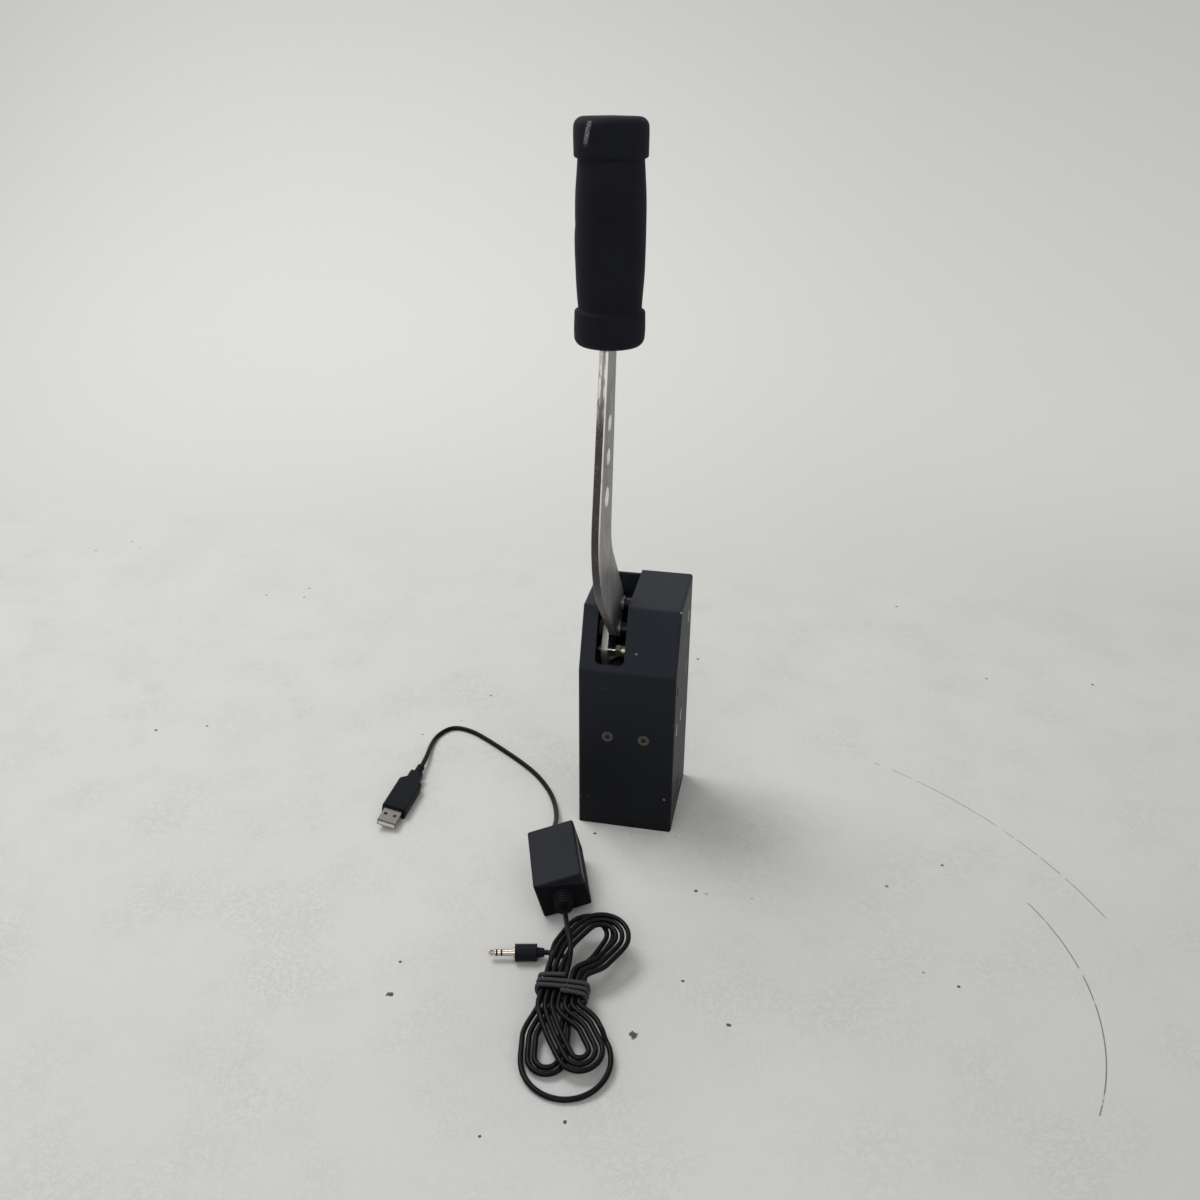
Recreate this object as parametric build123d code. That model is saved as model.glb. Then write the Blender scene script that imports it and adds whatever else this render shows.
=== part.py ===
from build123d import *
import math
import os

# Handbrake for a racing simulator: a folded sheet housing with an upright
# steel lever, a sprung plunger inside, and its lead with an inline adapter.
# Millimetres. The origin is the centre of the housing's base, X to the right,
# Y to the back, Z up. The driver pulls the lever towards -Y.

# Housing
housing_width = 60.0
housing_depth = 66.0
housing_height = 150.0
front_drop = 38.0
chamfer_run = 15.5
top_rise = 2.6
wall = 2.0
bend_radius = 1.8
slot_centre_x = -11.5
slot_width = 18.0
slot_depth = 34.0
slot_corner_radius = 3.6

# Clearances and overruns
fit_gap = 0.1
running_gap = 0.05
body_gap = 0.3
overrun = 1.0

# Lever
lever_thickness = 5.0
lever_mid_x = -15.8
lever_bevel = 0.4
grip_rise = 155.4
grip_length = 112.5
grip_axis_y = -16.5
bar_front_y = -31.0
bar_depth = 23.0
elbow_front_radius = 66.0
elbow_back_radius = 28.0
hole_diameters = (5.0, 5.0, 6.5)

# Pivot, follower and clamp places in the YZ plane, as drops below the top
pivot_y = 17.0
pivot_drop = 55.0
follower_y = 4.0
follower_drop = 42.0
clamp_upper_y = 24.0
clamp_upper_drop = 18.0
clamp_lower_y = 12.0
clamp_lower_drop = 30.0

# Places of the lever's corners, from the lower clamp screw and the upper one
arm_shift_front = 69.7
elbow_rise_front = 60.6
arm_shift_back = 31.0
elbow_rise_back = 71.7
heel_reach = 4.6
heel_rise = 5.4
toe_reach = 8.6
toe_drop = 8.4
toe_lift = 0.6
heel_radius = 4.0
toe_radius = 5.0
bar_hole_rises = (141.9, 123.3, 100.1)

# Arm, hub and axle
arm_thickness = 4.0
arm_pivot_radius = 12.0
arm_follower_radius = 6.0
arm_upper_radius = 6.0
arm_lower_radius = 7.0
axle_diameter = 8.0
hub_diameter = 16.0
hub_spigot_diameter = 12.0
hub_right_x = 12.0
bush_diameter = 10.0
bush_length = 9.0
bush_flange_diameter = 13.0
bush_flange = 1.0
spacer_diameter = 12.0

# Fasteners
small_screw = 4.0
small_head_diameter = 7.6
small_socket = 2.5
socket_depth = 1.6
side_screw_length = 10.0
clamp_screw = 6.0
clamp_head_diameter = 10.0
clamp_head_height = 6.0
clamp_socket = 5.0
clamp_socket_depth = 3.0
clamp_washer_diameter = 11.5
clamp_washer = 1.6
clamp_nut_flats = 10.0
clamp_nut_height = 3.0
follower_bolt = 4.0
follower_head_diameter = 7.0
follower_head_height = 2.4
follower_nut_flats = 7.0
follower_nut_height = 3.2
follower_nut_offset = 4.7
follower_diameter = 8.0
follower_length = 6.0
clip_thickness = 0.8
clip_diameter = 7.2

# Plunger and brake stack
plunger_x = -7.1
plunger_y = -3.0
plunger_head_diameter = 18.0
plunger_head_height = 4.0
plunger_rod_diameter = 6.0
plunger_rod_length = 29.7
load_cell_diameter = 18.0
load_cell_height = 5.0
elastomer_diameter = 12.6
spring_wire = 1.6
spring_mean_radius = 7.7
spring_half_turns = 10
guide_bush_diameter = 10.0
guide_bush_length = 12.0

# Load block
block_drop = 89.5
block_height = 16.0
block_depth = 38.0
block_pocket_width = 15.0
block_pocket_length = 22.0
block_pocket_radius = 4.0
front_screw_rise = 6.5
front_screw_xs = (-11.6, 11.1)
side_screw_rise = 8.0
side_screw_ys = (-18.6, 0.4)
cover_screw_y = 21.0
cover_screw_drop = 21.0
plain_hole_diameter = 5.0
plain_hole_y = -24.8
plain_hole_drop = 50.6
base_screw_y = 11.3
base_screw_z = 10.0

# Base and rear cover
base_height = 15.0
base_floor = 6.0
base_rim = 12.0
mount_spacing_x = 36.0
mount_spacing_y = 40.0
mount_thread = 6.0
mount_core_share = 0.8333
base_corner_radius = 2.0
cover_drop = 2.3
cover_tab_height = 18.0
cover_tab_reach = 16.0
cover_tab_thickness = 1.4
rear_screw_x = 20.0
rear_screw_z = 9.0
stop_height = 10.0
stop_width = 8.0
stop_drop = 23.0
socket_x = 0.0
socket_z = 34.0
socket_body = 10.0
socket_body_length = 14.0
socket_nose_diameter = 7.8
socket_nose_length = 2.6
socket_bore = 3.6
board_width = 34.0
board_height = 20.0
board_thickness = 1.6
board_clearance = 9.0
board_screw_x = 12.0
board_screw = 3.0
board_head_diameter = 5.5
board_head_height = 1.8
standoff_diameter = 6.0
standoff_length = 5.0

# Grip
grip_flange_diameter = 38.0
grip_neck_diameter = 33.8
grip_belly_diameter = 37.0
grip_flange_height = 19.0
grip_edge_radius = 5.0
grip_step_radius = 1.2
grip_core_diameter = 24.0
grip_cap = 6.0
tang_width = 18.0
tang_length = 100.0

# Adapter
adapter_width = 28.6
adapter_length = 49.6
adapter_height = 24.3
adapter_wall = 1.6
adapter_radius = 1.5
adapter_place = (-29.6, -125.5, 0.0)
adapter_yaw = 18.8
adapter_tilt = 15.0
relief_base_diameter = 12.4
relief_tip_diameter = 9.8
relief_length = 10.0
relief_rib_count = 5
relief_groove = 0.8
grommet_diameter = 5.6
grommet_lip = 0.8
adapter_board_gap = 2.0
post_diameter = 4.0

# Leads: the two routes are lists of points chosen by hand
usb_run_out = 10.0
lead_run_out = 4.0
hank_run_out = 4.5
round_share = 0.45
usb_lead_diameter = 3.2
usb_lead_route = [
    (-40.6, -52.0, 10.6), (-43.4, -38.5, 6.4), (-48.6, -22.0, 3.0),
    (-56.4, -6.5, 1.6), (-69.0, 9.2, 1.6), (-84.2, 22.0, 1.6),
    (-99.6, 33.2, 1.6), (-114.6, 43.6, 1.6), (-130.4, 53.4, 1.6),
    (-145.4, 55.6, 1.6), (-152.6, 43.0, 1.6), (-152.8, 28.0, 2.2),
]
jack_lead_diameter = 2.8
jack_lead_route = [
    (-12.3, -144.4, 19.0), (-9.4, -152.6, 19.8), (-6.2, -160.6, 18.7), (-4.5, -166.8, 16.8),
]
jack_tail_route = [(-6.1, -165.4, 8.2), (-8.65, -158.7, 5.9)]

# Hank
hank_waist = (-6.5, -184.0, 8.3)
hank_slope = 6.4
hank_turns = 3
hank_layer_step = 3.3
hank_step = 3.4
hank_waist_half_length = 6.0
hank_upper_angle = 29.0
hank_upper_fan = -9.0
hank_upper_reach = 38.0
hank_upper_radius = 5.5
hank_upper_run = 8.0
hank_upper_shift = -5.0
hank_lower_angle = 36.0
hank_lower_fan = -26.0
hank_lower_reach = 39.0
hank_lower_radius = 3.6
hank_lower_run = 7.0
hank_lower_shift = -5.0
tie_wire = 2.2
tie_turns = 3
tie_gap = 0.5
tie_pitch = 3.2

# Plug of the USB lead
plug_tip = (-148.4, -68.6)
plug_yaw = 0.0
plug_roll = 12.0
plug_width = 16.0
plug_thickness = 8.0
plug_body_length = 33.0
plug_neck_width = 9.0
plug_neck_thickness = 6.4
plug_neck_length = 9.0
plug_boot_diameter = 5.4
plug_boot_length = 9.0
plug_shell_width = 12.0
plug_shell_height = 4.5
plug_shell_length = 13.4
plug_sheet = 0.35
plug_tongue_height = 1.9
plug_contact_width = 1.0
plug_contact_height = 0.3
plug_contact_xs_shares = (-0.3, -0.09, 0.09, 0.3)
plug_window = 2.2
plug_corner_radius = 1.4

# Jack plug
jack_base = (-37.4, -159.9)
jack_yaw = 12.0
jack_pin_diameter = 3.5
jack_body_diameter = 9.4
jack_body_length = 12.0
jack_groove = 0.6
jack_rib_count = 8
jack_boot_diameter = 4.6
jack_boot_length = 4.0
jack_collar_diameter = 5.6
jack_collar_length = 0.8
jack_sleeve_length = 6.2
jack_ring_length = 2.2
jack_tip_length = 4.2
jack_insulator = 0.5
tip_shares = (0.25, 0.72, 0.42, 0.98, 0.68, 0.3)

# Worked out from the sizes above
front_y = -housing_depth / 2
back_y = housing_depth / 2
side_x = housing_width / 2
inner_side_x = side_x - wall
inner_front_y = front_y + wall
cover_inner_y = back_y - wall
front_height = housing_height - front_drop
back_height = housing_height + top_rise
slot_bottom_z = housing_height - slot_depth
grip_bottom_z = housing_height + grip_rise
pivot_z = housing_height - pivot_drop
follower_z = housing_height - follower_drop
clamp_upper_z = housing_height - clamp_upper_drop
clamp_lower_z = housing_height - clamp_lower_drop
block_bottom_z = housing_height - block_drop
front_screw_z = block_bottom_z + front_screw_rise
side_screw_z = block_bottom_z + side_screw_rise
cover_screw_z = housing_height - cover_screw_drop
plain_hole_z = housing_height - plain_hole_drop
stop_z = housing_height - stop_drop
board_z = socket_z + socket_body / 2 + board_clearance + board_height / 2
lever_left_x = lever_mid_x - lever_thickness / 2
lever_right_x = lever_mid_x + lever_thickness / 2
arm_left_x = lever_left_x - arm_thickness
block_top_z = block_bottom_z + block_height
load_cell_top_z = block_top_z + load_cell_height
plunger_top_z = follower_z - follower_diameter / 2 - body_gap
plunger_under_z = plunger_top_z - plunger_head_height
grip_top_z = grip_bottom_z + grip_length
follower_left_x = lever_left_x + follower_nut_offset + follower_nut_height + body_gap
follower_right_x = follower_left_x + follower_length
BOTTOM = (Align.CENTER, Align.CENTER, Align.MIN)


def rod_x(x0, x1, y, z, diameter):
    """Cylinder along X from x0 to x1."""
    rod = Cylinder(diameter / 2, x1 - x0, align=BOTTOM)
    return Pos(x0, y, z) * Rot(0, 90, 0) * rod


def rod_y(y0, y1, x, z, diameter):
    """Cylinder along Y from y0 to y1."""
    rod = Cylinder(diameter / 2, y1 - y0, align=BOTTOM)
    return Pos(x, y0, z) * Rot(-90, 0, 0) * rod


def rod_z(z0, z1, x, y, diameter):
    """Cylinder along Z from z0 to z1."""
    return Pos(x, y, z0) * Cylinder(diameter / 2, z1 - z0, align=BOTTOM)


def block(x0, x1, y0, y1, z0, z1):
    """Box between two corners."""
    box = Box(x1 - x0, y1 - y0, z1 - z0)
    return Pos((x0 + x1) / 2, (y0 + y1) / 2, (z0 + z1) / 2) * box


def hex_prism(flats, height):
    """Hexagon of a given width over its flats, standing on z = 0."""
    return extrude(RegularPolygon(flats / 2, 6, major_radius=False), height)


def side_plate(outline, x0, x1):
    """Plate cut to an outline in the YZ plane, from x0 to x1."""
    return Pos(x0, 0, 0) * extrude(Plane.YZ * outline, x1 - x0)


def countersunk_screw(length):
    """Screw along Z with its flat head face at z = 0 and its shank below."""
    head = small_head_diameter / 2
    shank = small_screw / 2
    taper = head - shank
    profile = Polyline(
        (0, 0), (head, 0), (head, -fit_gap), (shank, -taper - fit_gap),
        (shank, -length), (0, -length), close=True,
    )
    body = revolve(Plane.XZ * make_face(profile), Axis.Z)
    recess = Pos(0, 0, -socket_depth) * hex_prism(small_socket, socket_depth + overrun)
    return body - recess


def countersink(depth):
    """Cutter for a countersunk screw, its mouth at z = 0."""
    head = small_head_diameter / 2 + fit_gap
    shank = small_screw / 2 + fit_gap
    taper = head - shank
    profile = Polyline(
        (0, overrun), (head, overrun), (head, -fit_gap), (shank, -taper - fit_gap),
        (shank, -depth), (0, -depth), close=True,
    )
    return revolve(Plane.XZ * make_face(profile), Axis.Z)


def on_front(x, z, shape):
    return Pos(x, front_y, z) * Rot(90, 0, 0) * shape


def on_back(x, z, shape):
    return Pos(x, back_y, z) * Rot(-90, 0, 0) * shape


def on_sides(y, z, shape):
    right = Pos(side_x, y, z) * Rot(0, 90, 0) * shape
    left = Pos(-side_x, y, z) * Rot(0, -90, 0) * shape
    return [right, left]


def side_screw_places():
    """Places of the screws in both side walls, as Y and Z."""
    places = [(y, side_screw_z) for y in side_screw_ys]
    places.append((cover_screw_y, cover_screw_z))
    places.append((base_screw_y, base_screw_z))
    places.append((pivot_y, pivot_z))
    return places


def housing_profile(inset):
    """Side outline of the housing, drawn in by a wall."""
    lean = math.atan2(chamfer_run, front_drop)
    slope = math.atan2(top_rise, housing_depth - chamfer_run)
    low = (front_y + inset, front_height - inset * math.tan(lean / 2))
    reach = inset / math.cos(lean + slope)
    high_y = front_y + chamfer_run + reach * (math.cos(slope) - math.sin(lean))
    high_z = housing_height + reach * (math.sin(slope) - math.cos(lean))
    extra = overrun if inset else 0
    end_y = back_y + extra
    end_z = high_z + (end_y - high_y) * math.tan(slope)
    return Polyline(
        (front_y + inset, -extra), low, (high_y, high_z), (end_y, end_z),
        (end_y, -extra), close=True,
    )


def housing_shell():
    outer = extrude(Plane.YZ * make_face(housing_profile(0)), side_x, both=True)
    free = [
        edge for edge in outer.edges()
        if edge.center().Y < back_y - fit_gap and edge.center().Z > fit_gap
    ]
    outer = fillet(free, bend_radius)
    inner = extrude(Plane.YZ * make_face(housing_profile(wall)), inner_side_x, both=True)
    shell = outer - inner
    slot_top = back_height + overrun
    slot_height = slot_top - slot_bottom_z
    slot = Pos(0, slot_height / 2) * Rectangle(slot_width, slot_height)
    low_corners = slot.vertices().sort_by(Axis.Y)[:2]
    slot = fillet(low_corners, slot_corner_radius)
    cut = extrude(Plane.XZ * slot, housing_depth, both=True)
    shell -= Pos(slot_centre_x, 0, slot_bottom_z) * cut
    for x in front_screw_xs:
        shell -= on_front(x, front_screw_z, countersink(wall + overrun))
    for y, z in side_screw_places():
        for cutter in on_sides(y, z, countersink(wall + overrun)):
            shell -= cutter
    shell -= rod_x(-side_x - overrun, side_x + overrun, plain_hole_y, plain_hole_z,
                   plain_hole_diameter)
    return shell


def rear_cover():
    edge = inner_side_x - fit_gap
    top = back_height - cover_drop
    plate = block(-edge, edge, cover_inner_y, back_y, 0, top)
    plate = fillet(plate.edges().filter_by(Axis.Y).group_by(Axis.Z)[-1], wall)
    tab_low = cover_screw_z - cover_tab_height / 2
    tab_high = cover_screw_z + cover_tab_height / 2
    front = cover_inner_y - cover_tab_reach
    for sign in (-1, 1):
        xs = sorted((sign * edge, sign * (edge - cover_tab_thickness)))
        tab = block(xs[0], xs[1], front, cover_inner_y + fit_gap, tab_low, tab_high)
        tab = fillet(tab.edges().filter_by(Axis.X).group_by(Axis.Y)[0], wall)
        plate += tab
    plate -= rod_x(-side_x, side_x, cover_screw_y, cover_screw_z, small_screw + 2 * fit_gap)
    for x in (-rear_screw_x, rear_screw_x):
        plate -= on_back(x, rear_screw_z, countersink(wall + overrun))
    plate -= rod_y(cover_inner_y - overrun, back_y + overrun, socket_x, socket_z,
                   socket_nose_diameter + 2 * fit_gap)
    return plate


def base_block():
    edge = inner_side_x - fit_gap
    front = inner_front_y + fit_gap
    back = cover_inner_y - fit_gap
    body = block(-edge, edge, front, back, 0, base_height)
    body = fillet(body.edges().filter_by(Axis.Z), base_corner_radius)
    pocket = block(-edge + base_rim, edge - base_rim, front + base_rim, back - base_rim,
                   base_floor, base_height + overrun)
    body -= fillet(pocket.edges().filter_by(Axis.Z), base_corner_radius)
    core = mount_thread * mount_core_share
    for x in (-mount_spacing_x / 2, mount_spacing_x / 2):
        for y in (-mount_spacing_y / 2, mount_spacing_y / 2):
            body -= rod_z(-overrun, base_height + overrun, x, y, core)
    shank = small_screw + 2 * fit_gap
    depth = side_screw_length + fit_gap
    for sign in (-1, 1):
        xs = sorted((sign * side_x, sign * (side_x - depth)))
        body -= rod_x(xs[0], xs[1], base_screw_y, base_screw_z, shank)
        body -= rod_y(back_y - depth, back_y, sign * rear_screw_x, rear_screw_z, shank)
    return body


def load_block():
    edge = inner_side_x - fit_gap
    front = inner_front_y + fit_gap
    back = front + block_depth
    body = block(-edge, edge, front, back, block_bottom_z, block_top_z)
    pocket_x = (edge + plunger_x + load_cell_diameter / 2) / 2
    pocket_y = (front + back) / 2
    pocket = Pos(pocket_x, pocket_y, block_bottom_z - overrun) * extrude(
        RectangleRounded(block_pocket_width, block_pocket_length, block_pocket_radius),
        block_height + 2 * overrun,
    )
    body -= pocket
    body -= rod_z(block_bottom_z - overrun, block_top_z + overrun, plunger_x, plunger_y,
                  guide_bush_diameter + 2 * running_gap)
    shank = small_screw + 2 * fit_gap
    depth = side_screw_length + fit_gap
    for x in front_screw_xs:
        body -= rod_y(front_y, front_y + depth, x, front_screw_z, shank)
    for y in side_screw_ys:
        for sign in (-1, 1):
            xs = sorted((sign * side_x, sign * (side_x - depth)))
            body -= rod_x(xs[0], xs[1], y, side_screw_z, shank)
    return chamfer(body.edges().filter_by(Axis.X).group_by(Axis.Z)[-1], overrun)


def screws_in_sides(places, length):
    found = []
    for y, z in places:
        found += on_sides(y, z, countersunk_screw(length))
    return Compound(children=found)


def front_screws():
    made = [on_front(x, front_screw_z, countersunk_screw(side_screw_length))
            for x in front_screw_xs]
    return Compound(children=made)


def rear_screws():
    xs = (-rear_screw_x, rear_screw_x)
    made = [on_back(x, rear_screw_z, countersunk_screw(side_screw_length)) for x in xs]
    return Compound(children=made)


def cover_screws():
    """Short screws that end inside the cover's side tabs."""
    return screws_in_sides([(cover_screw_y, cover_screw_z)], wall + cover_tab_thickness)


def pivot_axle():
    axle = rod_x(-inner_side_x, inner_side_x, pivot_y, pivot_z, axle_diameter)
    depth = side_screw_length + fit_gap
    for sign in (-1, 1):
        xs = sorted((sign * side_x, sign * (side_x - depth)))
        axle -= rod_x(xs[0], xs[1], pivot_y, pivot_z, small_screw + 2 * fit_gap)
    return axle


def hub():
    left = arm_left_x
    body = rod_x(lever_left_x, hub_right_x, pivot_y, pivot_z, hub_diameter)
    body += rod_x(left, lever_left_x + fit_gap, pivot_y, pivot_z, hub_spigot_diameter)
    body -= rod_x(left - overrun, hub_right_x + overrun, pivot_y, pivot_z, axle_diameter + overrun)
    body -= rod_x(left - overrun, left + bush_length, pivot_y, pivot_z, bush_diameter)
    body -= rod_x(hub_right_x - bush_length, hub_right_x + overrun, pivot_y, pivot_z,
                  bush_diameter)
    return body


def hub_bushes():
    bore = axle_diameter + 2 * running_gap
    left = rod_x(arm_left_x, arm_left_x + bush_length, pivot_y, pivot_z, bush_diameter)
    left += rod_x(arm_left_x - bush_flange, arm_left_x, pivot_y, pivot_z, bush_flange_diameter)
    right = rod_x(hub_right_x - bush_length, hub_right_x, pivot_y, pivot_z, bush_diameter)
    right += rod_x(hub_right_x, hub_right_x + bush_flange, pivot_y, pivot_z,
                   bush_flange_diameter)
    hole = rod_x(-side_x, side_x, pivot_y, pivot_z, bore)
    return Compound(children=[left - hole, right - hole])


def axle_spacers():
    left_end = arm_left_x - bush_flange - body_gap
    right_start = hub_right_x + bush_flange + body_gap
    hole = rod_x(-side_x, side_x, pivot_y, pivot_z, axle_diameter + 2 * running_gap)
    left = rod_x(-inner_side_x, left_end, pivot_y, pivot_z, spacer_diameter) - hole
    right = rod_x(right_start, inner_side_x, pivot_y, pivot_z, spacer_diameter) - hole
    return Compound(children=[left, right])


def arm_plate():
    rings = [
        Pos(pivot_y, pivot_z) * Circle(arm_pivot_radius),
        Pos(follower_y, follower_z) * Circle(arm_follower_radius),
        Pos(clamp_upper_y, clamp_upper_z) * Circle(arm_upper_radius),
        Pos(clamp_lower_y, clamp_lower_z) * Circle(arm_lower_radius),
    ]
    outline = make_hull([edge for ring in rings for edge in ring.edges()])
    plate = side_plate(outline, arm_left_x, lever_left_x)
    x0 = arm_left_x - overrun
    x1 = lever_left_x + overrun
    plate -= rod_x(x0, x1, pivot_y, pivot_z, hub_spigot_diameter)
    plate -= rod_x(x0, x1, follower_y, follower_z, follower_bolt + 2 * fit_gap)
    for y, z in clamp_places():
        plate -= rod_x(x0, x1, y, z, clamp_screw + 2 * fit_gap)
    return plate


def clamp_places():
    return [(clamp_upper_y, clamp_upper_z), (clamp_lower_y, clamp_lower_z)]


def lever_outline():
    """Bar, elbow and foot of the lever in the YZ plane."""
    tang_front = grip_axis_y - tang_width / 2
    tang_back = grip_axis_y + tang_width / 2
    tang_low = grip_bottom_z
    tang_top = tang_low + tang_length
    bar_back = bar_front_y + bar_depth
    elbow_front_y = clamp_lower_y - arm_shift_front
    elbow_front_z = clamp_lower_z + elbow_rise_front
    elbow_back_y = clamp_lower_y - arm_shift_back
    elbow_back_z = clamp_lower_z + elbow_rise_back
    heel_y = clamp_upper_y + heel_reach
    toe_y = clamp_lower_y - toe_reach
    points = [
        (tang_front, tang_top), (tang_back, tang_top), (tang_back, tang_low),
        (bar_back, tang_low), (elbow_back_y, elbow_back_z),
        (heel_y, clamp_upper_z + heel_rise), (heel_y, clamp_upper_z - heel_rise),
        (clamp_lower_y + toe_reach / 2, clamp_lower_z - toe_drop),
        (toe_y, clamp_lower_z - toe_lift),
        (elbow_front_y, elbow_front_z), (bar_front_y, tang_low), (tang_front, tang_low),
    ]
    radii = [
        lever_thickness, lever_thickness, 0, 0, elbow_back_radius, heel_radius,
        heel_radius, toe_radius, toe_radius, elbow_front_radius, 0, 0,
    ]
    return FilletPolyline(*points, radius=radii, close=True)


def lever_plate():
    plate = side_plate(make_face(lever_outline()), lever_left_x, lever_right_x)
    faces = plate.faces().filter_by(Axis.X)
    rims = [edge for face in faces for edge in face.outer_wire().edges()]
    plate = chamfer(rims, lever_bevel)
    x0 = lever_left_x - overrun
    x1 = lever_right_x + overrun
    for y, z in clamp_places():
        plate -= rod_x(x0, x1, y, z, clamp_screw + 2 * fit_gap)
    for rise, diameter in zip(bar_hole_rises, hole_diameters):
        z = clamp_lower_z + rise + diameter / 2
        plate -= rod_x(x0, x1, bar_middle_y(z), z, diameter)
    return plate


def bar_middle_y(z):
    """Middle of the bar above the elbow, at a height."""
    tang_low = grip_bottom_z
    front_top = bar_front_y
    front_low = clamp_lower_y - arm_shift_front
    front_rise = tang_low - (clamp_lower_z + elbow_rise_front)
    back_top = bar_front_y + bar_depth
    back_low = clamp_lower_y - arm_shift_back
    back_rise = tang_low - (clamp_lower_z + elbow_rise_back)
    drop = tang_low - z
    front = front_top - (front_top - front_low) * drop / front_rise
    back = back_top - (back_top - back_low) * drop / back_rise
    return (front + back) / 2


def clamp_screws():
    made = []
    head_x = lever_right_x + clamp_washer
    tip_x = arm_left_x - clamp_nut_height - fit_gap
    for y, z in clamp_places():
        screw = rod_x(head_x, head_x + clamp_head_height, y, z, clamp_head_diameter)
        rim = screw.edges().filter_by(GeomType.CIRCLE).group_by(Axis.X)[-1]
        screw = chamfer(rim, lever_bevel)
        screw += rod_x(tip_x, head_x + fit_gap, y, z, clamp_screw)
        recess = hex_prism(clamp_socket, clamp_socket_depth + overrun)
        base = head_x + clamp_head_height - clamp_socket_depth
        screw -= Pos(base, y, z) * Rot(0, 90, 0) * recess
        made.append(screw)
    return Compound(children=made)


def clamp_washers():
    made = []
    for y, z in clamp_places():
        ring = rod_x(lever_right_x, lever_right_x + clamp_washer, y, z, clamp_washer_diameter)
        made.append(ring - rod_x(-side_x, side_x, y, z, clamp_screw + 2 * fit_gap))
    return Compound(children=made)


def nut_x(x0, y, z, flats, height, bore):
    nut = Pos(x0, y, z) * Rot(0, 90, 0) * hex_prism(flats, height)
    return nut - rod_x(x0 - overrun, x0 + height + overrun, y, z, bore + 2 * running_gap)


def clamp_nuts():
    x0 = arm_left_x - clamp_nut_height
    made = [nut_x(x0, y, z, clamp_nut_flats, clamp_nut_height, clamp_screw)
            for y, z in clamp_places()]
    return Compound(children=made)


def follower_bolt_solid():
    end_x = follower_right_x + body_gap + clip_thickness + body_gap
    bolt = rod_x(arm_left_x, end_x, follower_y, follower_z, follower_bolt)
    bolt += rod_x(arm_left_x - follower_head_height, arm_left_x, follower_y, follower_z,
                  follower_head_diameter)
    recess = Rot(0, 90, 0) * hex_prism(small_socket, socket_depth)
    return bolt - Pos(arm_left_x - follower_head_height, follower_y, follower_z) * recess


def follower_nut():
    x0 = lever_left_x + follower_nut_offset
    return nut_x(x0, follower_y, follower_z, follower_nut_flats, follower_nut_height,
                 follower_bolt)


def follower_roller():
    roller = rod_x(follower_left_x, follower_right_x, follower_y, follower_z,
                   follower_diameter)
    ends = roller.edges().filter_by(GeomType.CIRCLE)
    roller = chamfer(ends, lever_bevel)
    return roller - rod_x(-side_x, side_x, follower_y, follower_z,
                          follower_bolt + 2 * running_gap)


def follower_clip():
    x0 = follower_right_x + body_gap
    ring = rod_x(x0, x0 + clip_thickness, follower_y, follower_z, clip_diameter)
    ring -= rod_x(-side_x, side_x, follower_y, follower_z, follower_bolt)
    slit = follower_bolt / 2
    return ring - block(x0 - overrun, x0 + clip_thickness + overrun,
                        follower_y - slit, follower_y + slit,
                        follower_z - clip_diameter, follower_z)


def plunger():
    head = rod_z(plunger_under_z, plunger_top_z, plunger_x, plunger_y,
                 plunger_head_diameter)
    head = chamfer(head.edges().filter_by(GeomType.CIRCLE).group_by(Axis.Z)[-1], lever_bevel)
    rod = rod_z(plunger_under_z - plunger_rod_length, plunger_under_z + fit_gap, plunger_x,
                plunger_y, plunger_rod_diameter)
    return head + rod


def load_cell():
    ring = rod_z(block_top_z, load_cell_top_z, plunger_x, plunger_y, load_cell_diameter)
    return ring - rod_z(0, housing_height, plunger_x, plunger_y,
                        plunger_rod_diameter + 2 * body_gap)


def elastomer():
    tube = rod_z(load_cell_top_z, plunger_under_z, plunger_x, plunger_y,
                 elastomer_diameter)
    return tube - rod_z(0, housing_height, plunger_x, plunger_y,
                        plunger_rod_diameter + 2 * body_gap)


def guide_bush():
    body = rod_z(block_top_z - guide_bush_length, block_top_z, plunger_x, plunger_y,
                 guide_bush_diameter)
    return body - rod_z(0, housing_height, plunger_x, plunger_y,
                        plunger_rod_diameter + 2 * running_gap)


def half_turn_edges(centre, radius, z0, z1, count):
    """Rising coil made of arcs of half a turn each, in tilted planes."""
    edges = []
    rise = (z1 - z0) / count
    for i in range(count):
        side = 1 if i % 2 == 0 else -1
        z = z0 + i * rise
        edges.append(ThreePointArc(
            (centre[0] + side * radius, centre[1], z),
            (centre[0], centre[1] + side * radius, z + rise / 2),
            (centre[0] - side * radius, centre[1], z + rise),
        ))
    return edges


def swept_tube(edges, diameter):
    """Round tube along edges that follow each other smoothly."""
    path = Wire([edge.edge() if hasattr(edge, "edge") else edge for edge in edges])
    section = Plane(path @ 0, z_dir=path % 0) * Circle(diameter / 2)
    return sweep(section, path=path)


def return_spring():
    half = spring_wire / 2
    edges = half_turn_edges((plunger_x, plunger_y), spring_mean_radius,
                            load_cell_top_z + half + fit_gap,
                            plunger_under_z - half - fit_gap, spring_half_turns)
    return swept_tube(edges, spring_wire)


def rest_stop():
    """Rubber foot on the rear cover with a nose that the lever rests on."""
    foot_y = clamp_upper_y + arm_upper_radius + body_gap
    nose_y = clamp_upper_y + heel_reach + body_gap
    foot = block(lever_mid_x - stop_width / 2, lever_mid_x + stop_width / 2, foot_y,
                 cover_inner_y, stop_z, stop_z + stop_height)
    half = lever_thickness / 2 - body_gap
    nose = block(lever_mid_x - half, lever_mid_x + half, nose_y, foot_y + fit_gap, stop_z,
                 stop_z + stop_height)
    nose = fillet(nose.edges().filter_by(Axis.X).group_by(Axis.Y)[0], body_gap)
    return foot + nose


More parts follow.
